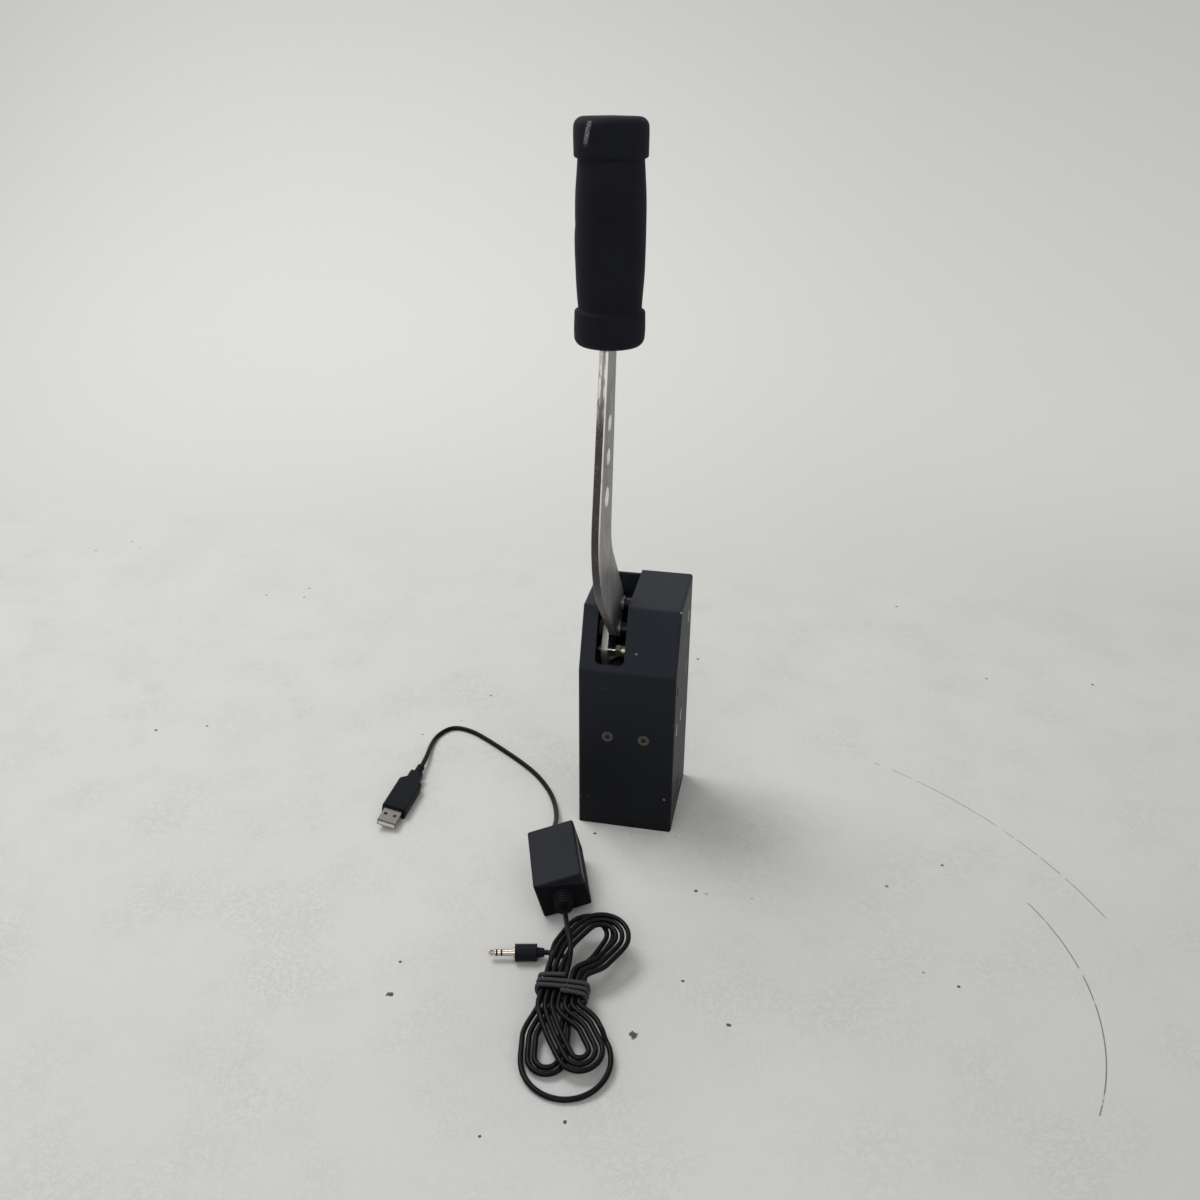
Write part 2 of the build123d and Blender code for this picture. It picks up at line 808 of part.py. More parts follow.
def grip_core():
    low = grip_bottom_z + overrun
    core = rod_z(low, grip_top_z - grip_cap, lever_mid_x, grip_axis_y, grip_core_diameter)
    half = tang_width / 2 + fit_gap
    thick = lever_thickness / 2 + fit_gap
    slot = block(lever_mid_x - thick, lever_mid_x + thick, grip_axis_y - half,
                 grip_axis_y + half, low - overrun, grip_bottom_z + tang_length + fit_gap)
    return core - slot


def grip_outline():
    """Half section of the foam grip, in X and Z from its lower face."""
    flange = grip_flange_diameter / 2
    neck = grip_neck_diameter / 2
    belly = grip_belly_diameter / 2
    edge = grip_edge_radius
    step = grip_step_radius
    high = grip_length - grip_flange_height
    arc = math.sqrt(0.5)
    outer = [
        Line((grip_core_diameter / 2, 0), (flange - edge, 0)),
        ThreePointArc((flange - edge, 0), (flange - edge + edge * arc, edge - edge * arc),
                      (flange, edge)),
        Line((flange, edge), (flange, grip_flange_height - step)),
        ThreePointArc((flange, grip_flange_height - step),
                      (flange - step + step * arc, grip_flange_height - step + step * arc),
                      (flange - step, grip_flange_height)),
        Line((flange - step, grip_flange_height), (neck, grip_flange_height)),
        ThreePointArc((neck, grip_flange_height), (belly, grip_length / 2), (neck, high)),
        Line((neck, high), (flange - step, high)),
        ThreePointArc((flange - step, high),
                      (flange - step + step * arc, high + step - step * arc),
                      (flange, high + step)),
        Line((flange, high + step), (flange, grip_length - edge)),
        ThreePointArc((flange, grip_length - edge),
                      (flange - edge + edge * arc, grip_length - edge + edge * arc),
                      (flange - edge, grip_length)),
        Line((flange - edge, grip_length), (0, grip_length)),
        Line((0, grip_length), (0, grip_length - grip_cap)),
        Line((0, grip_length - grip_cap), (grip_core_diameter / 2, grip_length - grip_cap)),
        Line((grip_core_diameter / 2, grip_length - grip_cap), (grip_core_diameter / 2, 0)),
    ]
    return make_face([piece.edge() for piece in outer])


def grip_foam():
    foam = revolve(Plane.XZ * grip_outline(), Axis.Z)
    return Pos(lever_mid_x, grip_axis_y, grip_bottom_z) * foam


def socket_outlet():
    """Panel socket for the lead, its mouth in the rear cover."""
    half = socket_body / 2
    body = block(socket_x - half, socket_x + half, cover_inner_y - socket_body_length,
                 cover_inner_y, socket_z - half, socket_z + half)
    body += rod_y(cover_inner_y, cover_inner_y + socket_nose_length, socket_x, socket_z,
                  socket_nose_diameter)
    return body - rod_y(cover_inner_y - socket_body_length + wall, back_y + overrun, socket_x,
                        socket_z, socket_bore)


def signal_board():
    y0 = cover_inner_y - standoff_length - board_thickness
    low = board_z - board_height / 2
    board = block(-board_width / 2, board_width / 2, y0, y0 + board_thickness, low,
                  low + board_height)
    for x in (-board_screw_x, board_screw_x):
        board -= rod_y(y0 - overrun, y0 + board_thickness + overrun, x, board_z,
                       board_screw + 2 * fit_gap)
    return board


def board_standoffs():
    y0 = cover_inner_y - standoff_length
    made = []
    for x in (-board_screw_x, board_screw_x):
        post = rod_y(y0, cover_inner_y, x, board_z, standoff_diameter)
        made.append(post - rod_y(y0 - overrun, cover_inner_y + overrun, x, board_z,
                                 board_screw + 2 * running_gap))
    return Compound(children=made)


def board_screws():
    y0 = cover_inner_y - standoff_length - board_thickness
    made = []
    for x in (-board_screw_x, board_screw_x):
        screw = rod_y(y0 - board_head_height, y0, x, board_z, board_head_diameter)
        screw += rod_y(y0, cover_inner_y - fit_gap, x, board_z, board_screw)
        made.append(screw)
    return Compound(children=made)


def adapter_location():
    return Pos(*adapter_place) * Rot(0, 0, adapter_yaw) * Rot(0, -adapter_tilt, 0)


def adapter_half(low, high, open_end):
    """Half of the adapter's case, a tray with rounded corners."""
    tray = block(0, adapter_width, 0, adapter_length, low, high)
    tray = fillet(tray.edges().filter_by(Axis.Z), adapter_radius)
    rim = tray.faces().sort_by(Axis.Z)[0 if open_end == "top" else -1]
    tray = fillet(rim.edges(), adapter_radius - fit_gap)
    w = adapter_wall
    if open_end == "top":
        hollow = block(w, adapter_width - w, w, adapter_length - w, low + w, high + overrun)
    else:
        hollow = block(w, adapter_width - w, w, adapter_length - w, low - overrun, high - w)
    tray -= fillet(hollow.edges().filter_by(Axis.Z), adapter_radius)
    middle_x = adapter_width / 2
    middle_z = adapter_height / 2
    tray -= rod_y(-overrun, w + overrun, middle_x, middle_z, relief_tip_diameter)
    tray -= rod_y(adapter_length - w - overrun, adapter_length + overrun, middle_x, middle_z,
                  grommet_diameter)
    return tray


def adapter_lower_shell():
    tray = adapter_half(0, adapter_height / 2, "top")
    board_z0 = adapter_height / 2 - adapter_board_gap - board_thickness
    for y in adapter_post_ys():
        tray += rod_z(adapter_wall - fit_gap, board_z0, adapter_width / 2, y, post_diameter)
    return adapter_location() * tray


def adapter_upper_shell():
    return adapter_location() * adapter_half(adapter_height / 2, adapter_height, "bottom")


def adapter_post_ys():
    inset = 2 * base_rim / 2
    return (inset, adapter_length - inset)


def adapter_board():
    inset = adapter_wall + 2 * fit_gap + adapter_board_gap
    high = adapter_height / 2 - adapter_board_gap
    board = block(inset, adapter_width - inset, inset, adapter_length - inset,
                  high - board_thickness, high)
    return adapter_location() * board


def adapter_strain_relief():
    """Ribbed sleeve that the jack lead leaves the adapter through."""
    base = relief_base_diameter / 2
    tip = relief_tip_diameter / 2
    inner = adapter_wall + overrun
    points = [(0, -inner), (tip, -inner), (tip, 0), (base, 0)]
    step = relief_length / (2 * relief_rib_count + 1)
    for i in range(relief_rib_count):
        high = base + (tip - base) * (2 * i + 1) * step / relief_length
        low = base + (tip - base) * (2 * i + 2) * step / relief_length
        z = (2 * i + 1) * step
        points += [(high, z), (high - relief_groove, z), (low - relief_groove, z + step),
                   (low, z + step)]
    points += [(tip, relief_length), (0, relief_length)]
    sleeve = revolve(Plane.XZ * make_face(Polyline(*points, close=True)), Axis.Z)
    place = Pos(adapter_width / 2, 0, adapter_height / 2) * Rot(90, 0, 0)
    return adapter_location() * place * sleeve


def adapter_grommet():
    """Lipped ring that the USB lead leaves the adapter through."""
    x = adapter_width / 2
    z = adapter_height / 2
    inner = adapter_length - adapter_wall
    ring = rod_y(inner, adapter_length, x, z, grommet_diameter)
    ring += rod_y(inner - grommet_lip, inner, x, z, grommet_diameter + grommet_lip)
    ring += rod_y(adapter_length, adapter_length + grommet_lip, x, z,
                  grommet_diameter + grommet_lip)
    return adapter_location() * ring


def adapter_point(x, y, z):
    """Place in the row's frame of a point on the adapter."""
    return tuple((adapter_location() * Pos(x, y, z)).position)


def routed_tube(name, points, diameter):
    """Straight runs joined by arcs as large as the runs allow, swept as a tube."""
    places = [Vector(*point) for point in points]
    radii = []
    for before, here, after in zip(places, places[1:], places[2:]):
        turn = math.radians((here - before).get_angle(after - here))
        shorter = min((here - before).length, (after - here).length)
        radii.append(round_share * shorter / math.tan(turn / 2))
    line = FilletPolyline(*places, radius=radii)
    section = Plane(places[0], z_dir=places[1] - places[0]) * Circle(diameter / 2)
    tube = sweep(section, path=line)
    length = line.length
    ideal = math.pi * diameter ** 2 / 4 * length
    print(name, "length", round(length, 1), "radii", [round(radius, 1) for radius in radii],
          "volume against section times length", round(tube.volume / ideal, 4))
    return tube


def usb_lead():
    x, z = adapter_width / 2, adapter_height / 2
    leave = adapter_length + grommet_lip
    tail = -plug_boot_length - plug_neck_length - plug_body_length
    first = [adapter_point(x, leave, z), adapter_point(x, leave + usb_run_out, z)]
    last = [plug_point(tail - usb_run_out, 0), plug_point(tail, 0)]
    return routed_tube("usb_lead", first + usb_lead_route + last, usb_lead_diameter)


def plug_location():
    roll = math.radians(plug_roll)
    half_width = plug_width / 2 - plug_corner_radius
    half_height = plug_thickness / 2 - plug_corner_radius
    z = half_width * math.sin(roll) + half_height * math.cos(roll) + plug_corner_radius
    place = Pos(plug_tip[0], plug_tip[1], z) * Rot(0, 0, plug_yaw - 90)
    return place * Rot(-plug_roll, 0, 0) * Pos(-plug_shell_length, 0, 0)


def plug_point(along, up):
    """Place on the plug's axis, counted from where its metal shell begins."""
    return tuple((plug_location() * Pos(along, 0, up)).position)


def usb_plug_body():
    """Overmould: a waisted body, a stepped neck and a round boot."""
    body = block(-plug_body_length, 0, -plug_width / 2, plug_width / 2, -plug_thickness / 2,
                 plug_thickness / 2)
    tail = body.edges().filter_by(Axis.Z).group_by(Axis.X)[0]
    body = chamfer(tail, plug_width / 4)
    body = fillet(body.edges().filter_by(Axis.X), plug_corner_radius)
    neck_end = -plug_body_length - plug_neck_length
    neck = block(neck_end, -plug_body_length + overrun, -plug_neck_width / 2,
                 plug_neck_width / 2, -plug_neck_thickness / 2, plug_neck_thickness / 2)
    neck = fillet(neck.edges().filter_by(Axis.X), plug_corner_radius)
    boot = rod_x(neck_end - plug_boot_length, neck_end + overrun, 0, 0, plug_boot_diameter)
    groove = plug_boot_length / 4
    for i in range(2):
        x0 = neck_end - plug_boot_length + groove * (2 * i + 1)
        ring = rod_x(x0, x0 + groove / 2, 0, 0, plug_boot_diameter + overrun)
        boot -= ring - rod_x(x0, x0 + groove / 2, 0, 0, plug_boot_diameter - relief_groove)
    return plug_location() * (body + neck + boot)


def usb_shell():
    """Folded metal shell with its windows, open at the mouth."""
    tube = block(0, plug_shell_length, -plug_shell_width / 2, plug_shell_width / 2,
                 -plug_shell_height / 2, plug_shell_height / 2)
    tube = fillet(tube.edges().filter_by(Axis.X), plug_sheet)
    inside_w = plug_shell_width / 2 - plug_sheet
    inside_h = plug_shell_height / 2 - plug_sheet
    tube -= block(-overrun, plug_shell_length + overrun, -inside_w, inside_w, -inside_h,
                  inside_h)
    for sign in (-1, 1):
        y = sign * plug_shell_width / 4
        x = plug_shell_length / 2
        half = plug_window / 2
        tube -= block(x - half, x + half, y - half, y + half, -plug_shell_height,
                      plug_shell_height)
    return plug_location() * tube


def usb_tongue():
    inside_w = plug_shell_width / 2 - plug_sheet
    low = -plug_shell_height / 2 + plug_sheet
    tongue = block(0, plug_shell_length - plug_sheet, -inside_w, inside_w, low,
                   low + plug_tongue_height)
    return plug_location() * tongue


def usb_contacts():
    low = -plug_shell_height / 2 + plug_sheet + plug_tongue_height
    made = []
    for share in plug_contact_xs_shares:
        y = share * plug_shell_width
        half = plug_contact_width / 2
        made.append(plug_location() * block(plug_sheet, plug_shell_length - overrun, y - half,
                                            y + half, low, low + plug_contact_height))
    return Compound(children=made)


def jack_location():
    return Pos(jack_base[0], jack_base[1], jack_body_diameter / 2) * Rot(0, 0, jack_yaw)


def jack_plug_body():
    body = rod_x(0, jack_body_length, 0, 0, jack_body_diameter)
    body = fillet(body.edges().filter_by(GeomType.CIRCLE), lever_bevel)
    pitch = jack_body_length / (jack_rib_count + 1)
    for i in range(jack_rib_count):
        x0 = pitch * (i + 1) - jack_groove / 2
        ring = rod_x(x0, x0 + jack_groove, 0, 0, jack_body_diameter + overrun)
        body -= ring - rod_x(x0, x0 + jack_groove, 0, 0, jack_body_diameter - jack_groove)
    boot = Cone(jack_boot_diameter / 2 + overrun / 2, jack_boot_diameter / 2, jack_boot_length,
                align=BOTTOM)
    return jack_location() * (body + Pos(jack_body_length, 0, 0) * Rot(0, 90, 0) * boot)


def jack_contacts():
    """Collar with sleeve, ring and tip, divided by insulators."""
    sleeve = rod_x(-jack_collar_length, 0, 0, 0, jack_collar_diameter)
    sleeve_end = -jack_collar_length - jack_sleeve_length
    sleeve += rod_x(sleeve_end, -jack_collar_length, 0, 0, jack_pin_diameter)
    ring_start = sleeve_end - jack_insulator
    ring_end = ring_start - jack_ring_length
    ring = rod_x(ring_end, ring_start, 0, 0, jack_pin_diameter)
    tip_start = ring_end - jack_insulator
    r = jack_pin_diameter / 2
    long = jack_tip_length
    profile = Polyline(
        (0, 0), (r, 0), (r, long * tip_shares[0]), (r * tip_shares[1], long * tip_shares[2]),
        (r * tip_shares[3], long * tip_shares[4]), (r * tip_shares[5], long), (0, long),
        close=True,
    )
    tip = revolve(Plane.XZ * make_face(profile), Axis.Z)
    tip = Pos(tip_start, 0, 0) * Rot(0, -90, 0) * tip
    return Compound(children=[jack_location() * piece for piece in (sleeve, ring, tip)])


def jack_insulators():
    sleeve_end = -jack_collar_length - jack_sleeve_length
    ring_end = sleeve_end - jack_insulator - jack_ring_length
    made = []
    for x in (sleeve_end, ring_end):
        made.append(jack_location() * rod_x(x - jack_insulator, x, 0, 0, jack_pin_diameter))
    return Compound(children=made)


def turned(point, angle):
    """Point turned about the origin, in degrees, clockwise seen from above."""
    a = math.radians(-angle)
    x, y = point
    return (x * math.cos(a) - y * math.sin(a), x * math.sin(a) + y * math.cos(a))


def waist_x(side, turn):
    """Sideways place of a strand at the waist: right is +1 and left is -1."""
    middle = hank_step / 2
    return side * turn * hank_step + (middle if side > 0 else 0)


def lobe_angle(upper, level):
    """Lean of a lobe, clockwise; the lower layer lies fanned out from the upper one."""
    low = level < hank_layer_step / 2
    if upper:
        return hank_upper_angle + (hank_upper_fan if low else 0)
    return -hank_lower_angle - (hank_lower_fan if low else 0)


def lobe_point(upper, side, turn, along, level):
    """Point beside a lobe's axis, in the hank's plane."""
    radius = hank_upper_radius if upper else hank_lower_radius
    shift = hank_upper_shift if upper else hank_lower_shift
    x = side * (radius + turn * hank_step) + shift
    return turned((x, along if upper else -along), lobe_angle(upper, level))


def lobe_direction(upper, outward, level):
    sign = 1 if outward == upper else -1
    return turned((0, sign), lobe_angle(upper, level))


def lifted(point, level):
    return Vector(point[0], point[1], level)


def beside(place, direction, offset):
    """Point moved to the left of its direction of travel."""
    return place + Vector(-direction.Y, direction.X, 0) * offset


def biarc(p0, t0, p1, t1, level, offset):
    """Two arcs from p0 along t0 to p1 along t1, moved sideways as a whole."""
    a, b = lifted(p0, level), lifted(p1, level)
    u, w = Vector(t0[0], t0[1], 0).normalized(), Vector(t1[0], t1[1], 0).normalized()
    v = b - a
    span = v.dot(u + w)
    close = 1 - u.dot(w)
    reach = (math.sqrt(span * span + 2 * close * v.dot(v)) - span) / (2 * close)
    middle = (a + b + (u - w) * reach) * 0.5
    through = ((b - w * reach) - (a + u * reach)).normalized()
    places = [beside(a, u, offset), beside(middle, through, offset), beside(b, w, offset)]
    first = Edge.make_tangent_arc(places[0], u, places[1])
    return [first, Edge.make_tangent_arc(places[1], through, places[2])]


def climb(p0, p1, level0, level1):
    """Two arcs along a straight run that change the layer."""
    a, b = lifted(p0, level0), lifted(p1, level1)
    flat = (lifted(p1, level0) - a).normalized()
    middle = (a + b) * 0.5
    through_arc = Edge.make_tangent_arc(a, flat, middle)
    leave = through_arc.tangent_at(1)
    return [through_arc, Edge.make_tangent_arc(middle, leave, b)]


def hank_lobe(upper, side, turn_in, turn_out, level_in, level_out):
    """One strand from the waist round a lobe and back to the waist."""
    reach = hank_upper_reach if upper else hank_lower_reach
    start = reach - (hank_upper_run if upper else hank_lower_run)
    waist_y = hank_waist_half_length if upper else -hank_waist_half_length
    away = (0, 1) if upper else (0, -1)
    back = (0, -1) if upper else (0, 1)
    outward = lobe_direction(upper, True, level_in)
    inward = lobe_direction(upper, False, level_out)
    middle = hank_turns / 2
    edges = biarc((waist_x(side, middle), waist_y), away,
                  lobe_point(upper, side, middle, start, level_in), outward, level_in,
                  (turn_in - middle) * hank_step)
    near_in = lobe_point(upper, side, turn_in, start, level_in)
    far_in = lobe_point(upper, side, turn_in, reach, level_in)
    far_out = lobe_point(upper, -side, turn_out, reach, level_out)
    near_out = lobe_point(upper, -side, turn_out, start, level_out)
    if level_in == level_out:
        edges.append(Edge.make_line(lifted(near_in, level_in), lifted(far_in, level_in)))
        edges.append(Edge.make_tangent_arc(lifted(far_in, level_out),
                                           Vector(outward[0], outward[1], 0),
                                           lifted(far_out, level_out)))
    else:
        edges += climb(near_in, far_in, level_in, level_out)
        edges += biarc(far_in, outward, far_out, inward, level_out, 0)
    edges.append(Edge.make_line(lifted(far_out, level_out), lifted(near_out, level_out)))
    edges += biarc(lobe_point(upper, -side, middle, start, level_out), inward,
                   (waist_x(-side, middle), waist_y), back, level_out,
                   (turn_out - middle) * hank_step)
    return edges


def hank_edges():
    """The hank's one strand: out from the middle above, and in again below."""
    top = hank_layer_step
    half = hank_waist_half_length
    start_x = waist_x(1, 0)
    edges = [Edge.make_line(Vector(start_x, half, top), Vector(start_x, -half, top))]
    turn = 0.0
    level = top
    side = 1
    upper = False
    growing = True
    for _ in range(4 * hank_turns - 1):
        following = turn + 0.5 if growing else turn - 0.5
        next_level = level
        if growing and turn >= hank_turns:
            growing = False
            following = turn - 0.5
            next_level = 0.0
        edges += hank_lobe(upper, side, turn, following, level, next_level)
        turn, level = following, next_level
        side = -side
        x = waist_x(side, turn)
        ends = (half, -half) if upper else (-half, half)
        edges.append(Edge.make_line(Vector(x, ends[0], level), Vector(x, ends[1], level)))
        upper = not upper
    return edges


def least_gap(edges, diameter):
    """Least distance between the strand's surfaces, away from its neighbours."""
    points = []
    total = 0.0
    for edge in edges:
        count = max(2, int(edge.length / (diameter / 2)))
        for i in range(count):
            points.append((total + edge.length * i / count, edge.position_at(i / count)))
        total += edge.length
    least = total
    for i, (along, place) in enumerate(points):
        for other_along, other in points[i + 1:]:
            if other_along - along > 3 * diameter:
                least = min(least, (place - other).length)
    return least - diameter, total


def hank_location():
    return Pos(*hank_waist) * Rot(hank_slope, 0, 0)


def jack_lead_hank():
    edges = hank_edges()
    gap, total = least_gap(edges, jack_lead_diameter)
    tube = swept_tube(edges, jack_lead_diameter)
    ideal = math.pi * jack_lead_diameter ** 2 / 4 * total
    print("hank length", round(total, 1), "least gap to itself", round(gap, 2),
          "volume against section times length", round(tube.volume / ideal, 4))
    return hank_location() * tube


def hank_point(side, turn, along, level):
    place = Pos(waist_x(side, turn), hank_waist_half_length + along, level)
    return tuple((hank_location() * place).position)


def jack_lead():
    x, z = adapter_width / 2, adapter_height / 2
    first = [adapter_point(x, -relief_length, z),
             adapter_point(x, -relief_length - lead_run_out, z)]
    last = [hank_point(1, 0, hank_run_out, hank_layer_step),
            hank_point(1, 0, 0, hank_layer_step)]
    return routed_tube("jack_lead", first + jack_lead_route + last, jack_lead_diameter)


def jack_point(along):
    return tuple((jack_location() * Pos(along, 0, 0)).position)


def jack_lead_tail():
    boot_end = jack_body_length + jack_boot_length
    first = [hank_point(-1, 0.5, 0, 0), hank_point(-1, 0.5, hank_run_out, 0)]
    last = [jack_point(boot_end + lead_run_out), jack_point(boot_end)]
    return routed_tube("jack_lead_tail", first + jack_tail_route + last, jack_lead_diameter)


def hank_tie():
    """Soft tie wound round the waist as one strand."""
    right = waist_x(1, hank_turns)
    left = waist_x(-1, hank_turns - 0.5)
    out = jack_lead_diameter / 2 + tie_gap + tie_wire / 2
    high = hank_layer_step + out
    half = tie_pitch / 2
    y = -half * tie_turns
    middle_x = (left + right) / 2
    points = [(middle_x, y, high)]
    for _ in range(tie_turns):
        points += [(right + out, y, high), (right + out, y, -out)]
        points += [(left - out, y + half, -out), (left - out, y + half, high)]
        y += tie_pitch
    points.append((middle_x, y, high))
    line = FilletPolyline(*points, radius=out)
    section = Plane(line @ 0, z_dir=line % 0) * Circle(tie_wire / 2)
    return hank_location() * sweep(section, path=line)


def all_nodes():
    base_places = [(base_screw_y, base_screw_z)]
    block_places = [(y, side_screw_z) for y in side_screw_ys]
    axle_places = [(pivot_y, pivot_z)]
    return {
        "housing_shell": housing_shell(),
        "rear_cover": rear_cover(),
        "base_block": base_block(),
        "load_block": load_block(),
        "front_screws": front_screws(),
        "block_side_screws": screws_in_sides(block_places, side_screw_length),
        "base_side_screws": screws_in_sides(base_places, side_screw_length),
        "cover_side_screws": cover_screws(),
        "rear_screws": rear_screws(),
        "axle_screws": screws_in_sides(axle_places, side_screw_length),
        "pivot_axle": pivot_axle(),
        "axle_spacers": axle_spacers(),
        "hub": hub(),
        "hub_bushes": hub_bushes(),
        "arm_plate": arm_plate(),
        "lever_plate": lever_plate(),
        "clamp_screws": clamp_screws(),
        "clamp_washers": clamp_washers(),
        "clamp_nuts": clamp_nuts(),
        "follower_bolt": follower_bolt_solid(),
        "follower_nut": follower_nut(),
        "follower_roller": follower_roller(),
        "follower_clip": follower_clip(),
        "plunger": plunger(),
        "load_cell": load_cell(),
        "elastomer": elastomer(),
        "guide_bush": guide_bush(),
        "return_spring": return_spring(),
        "rest_stop": rest_stop(),
        "grip_core": grip_core(),
        "grip_foam": grip_foam(),
        "lead_socket": socket_outlet(),
        "signal_board": signal_board(),
        "board_standoffs": board_standoffs(),
        "board_screws": board_screws(),
        "adapter_lower_shell": adapter_lower_shell(),
        "adapter_upper_shell": adapter_upper_shell(),
        "adapter_board": adapter_board(),
        "adapter_strain_relief": adapter_strain_relief(),
        "adapter_grommet": adapter_grommet(),
        "usb_lead": usb_lead(),
        "usb_plug_body": usb_plug_body(),
        "usb_shell": usb_shell(),
        "usb_tongue": usb_tongue(),
        "usb_contacts": usb_contacts(),
        "jack_lead": jack_lead(),
        "jack_lead_hank": jack_lead_hank(),
        "jack_lead_tail": jack_lead_tail(),
        "hank_tie": hank_tie(),
        "jack_plug_body": jack_plug_body(),
        "jack_contacts": jack_contacts(),
        "jack_insulators": jack_insulators(),
    }


os.makedirs("parts", exist_ok=True)
for node, shape in all_nodes().items():
    export_step(shape, f"parts/{node}.step")
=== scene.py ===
import math
import random
import bpy
from mathutils import Matrix, Vector


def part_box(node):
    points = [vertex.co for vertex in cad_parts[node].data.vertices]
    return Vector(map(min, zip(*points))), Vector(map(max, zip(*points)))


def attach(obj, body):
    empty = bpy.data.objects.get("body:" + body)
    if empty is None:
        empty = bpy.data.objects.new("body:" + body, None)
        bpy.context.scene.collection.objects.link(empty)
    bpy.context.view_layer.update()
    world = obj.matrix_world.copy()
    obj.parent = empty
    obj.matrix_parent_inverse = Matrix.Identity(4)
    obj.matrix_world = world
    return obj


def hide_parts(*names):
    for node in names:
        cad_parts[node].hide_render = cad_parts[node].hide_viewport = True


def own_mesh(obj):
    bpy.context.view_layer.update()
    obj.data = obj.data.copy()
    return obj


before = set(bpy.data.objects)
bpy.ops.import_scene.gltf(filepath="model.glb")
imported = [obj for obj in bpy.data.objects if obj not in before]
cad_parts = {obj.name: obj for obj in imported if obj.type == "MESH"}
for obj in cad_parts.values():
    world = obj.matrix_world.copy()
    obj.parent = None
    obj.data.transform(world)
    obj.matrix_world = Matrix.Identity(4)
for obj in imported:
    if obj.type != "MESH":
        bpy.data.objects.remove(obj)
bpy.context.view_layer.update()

bl_info = {
    "name": "Racing handbrake",
    "version": (1, 0, 0),
    "blender": (4, 5, 0),
    "location": "3D View > Sidebar > Handbrake",
    "description": "Dresses the handbrake's solids with its grip, leads and finishes",
    "category": "Object",
}

MM = 0.001

# ---- where the photographer stood

CAMERA_PLACE = (0.0935, -0.5836, 0.4301)
CAMERA_FORWARD = (-0.1771, 0.8840, -0.4326)
CAMERA_RIGHT = (0.9805, 0.1964, 0.0)
CAMERA_ROLL = 0.0063
CAMERA_LENS = 31.98

# ---- places that scene and solids share, in metres

HOUSING_FRONT_Y, HOUSING_RIGHT_X = -0.033, 0.030
SLOPE_FOOT_Z = 0.1125
FRONT_SCREWS = ((-0.0116, HOUSING_FRONT_Y, 0.067), (0.0111, HOUSING_FRONT_Y, 0.067))
SIDE_SCREWS = ((-0.0186, 0.0685), (0.0004, 0.0685), (0.0210, 0.1290))
LEVER_RIGHT_X, LEVER_THICKNESS = -0.0133, 0.0050
LEVER_HOLES = ((-0.02587, 0.2652, 0.0050), (-0.02876, 0.2468, 0.0052),
               (-0.03225, 0.2244, 0.0062))
ADAPTER = (Matrix.Translation((-0.0296, -0.1255, 0.0))
           @ Matrix.Rotation(math.radians(18.8), 4, "Z")
           @ Matrix.Rotation(math.radians(-15.0), 4, "Y"))
ADAPTER_WIDTH, ADAPTER_LENGTH, ADAPTER_HEIGHT = 0.0286, 0.0496, 0.0243
ADAPTER_LID_Z = 0.0222
PLUG = (Matrix.Translation((-0.1484, -0.0686, 0.005315))
        @ Matrix.Rotation(math.radians(-90.0), 4, "Z")
        @ Matrix.Rotation(math.radians(-12.0), 4, "X") @ Matrix.Translation((-0.0134, 0.0, 0.0)))
JACK_X, JACK_Y, JACK_TURN = -0.0374, -0.1599, math.radians(12.0)
JACK = (Matrix.Translation((JACK_X, JACK_Y, 0.0047))
        @ Matrix.Rotation(JACK_TURN, 4, "Z"))
HANK = (Matrix.Translation((-0.0065, -0.1840, 0.0083))
        @ Matrix.Rotation(math.radians(6.4), 4, "X"))

# Middle lines of the leads, in millimetres
USB_ROUTE = [
    (-40.6, -52.0, 10.6), (-43.4, -38.5, 6.4), (-48.6, -22.0, 3.0), (-56.4, -6.5, 1.6),
    (-69.0, 9.2, 1.6), (-84.2, 22.0, 1.6), (-99.6, 33.2, 1.6), (-114.6, 43.6, 1.6),
    (-130.4, 53.4, 1.6), (-145.4, 55.6, 1.6), (-152.6, 43.0, 1.6), (-152.8, 28.0, 2.2),
]
JACK_ROUTE = [(-12.3, -144.4, 19.0), (-9.4, -152.6, 19.8), (-6.2, -160.6, 18.7),
              (-4.5, -166.8, 16.8)]
TAIL_ROUTE = [(-6.1, -165.4, 8.2), (-8.65, -158.7, 5.9)]

# The hank: turns, side step from turn to turn, step between layers and half length of its waist
HANK_TURNS, HANK_STEP, LAYER_STEP, WAIST_HALF = 3, 0.0034, 0.0033, 0.006
# Clockwise leans of a lobe's upper and lower layer, then its reach, radius, run and shift
UPPER = ((29.0, 20.0), 0.0380, 0.0055, 0.0080, -0.0050)
LOWER = ((-36.0, -10.0), 0.0390, 0.0036, 0.0070, -0.0050)

# ---- floor and light

FLOOR_FRONT, FLOOR_HALF_WIDTH = -3.0, 4.0
BEND_START, BEND_RADIUS, BACKDROP_TOP = 0.45, 0.6, 3.5
# Place and radius of each crumb
CRUMBS = (((0.0346, -0.1980, 0.0), 0.0026), ((-0.0952, -0.1975, 0.0), 0.0018),
          ((0.0814, -0.1817, 0.0), 0.0013), ((0.0546, -0.1569, 0.0), 0.0010),
          ((-0.0983, -0.1749, 0.0), 0.0010), ((-0.0237, -0.2688, 0.0), 0.0009),
          ((0.0125, -0.2538, 0.0), 0.0010))
# Centre, radius, half width, lowest Y and highest Y of each curved scratch
SCRATCHES = (((0.0323, -0.1736, 0.0), 0.2796, 0.0004, -0.06, 0.075),
             ((0.1066, -0.1377, 0.0), 0.1614, 0.0005, -0.20, -0.055))
# Name, place, size in metres and power in watts
LAMPS = (("key", (-0.90, 0.40, 1.8), 1.0, 24.0), ("front", (-0.15, -1.35, 1.25), 0.9, 6.0),
         ("fill", (1.1, -0.9, 1.2), 1.2, 4.0))
LAMPS_AIM = (0.0, 0.0, 0.1)


# ---- sizes and colours that a user would change

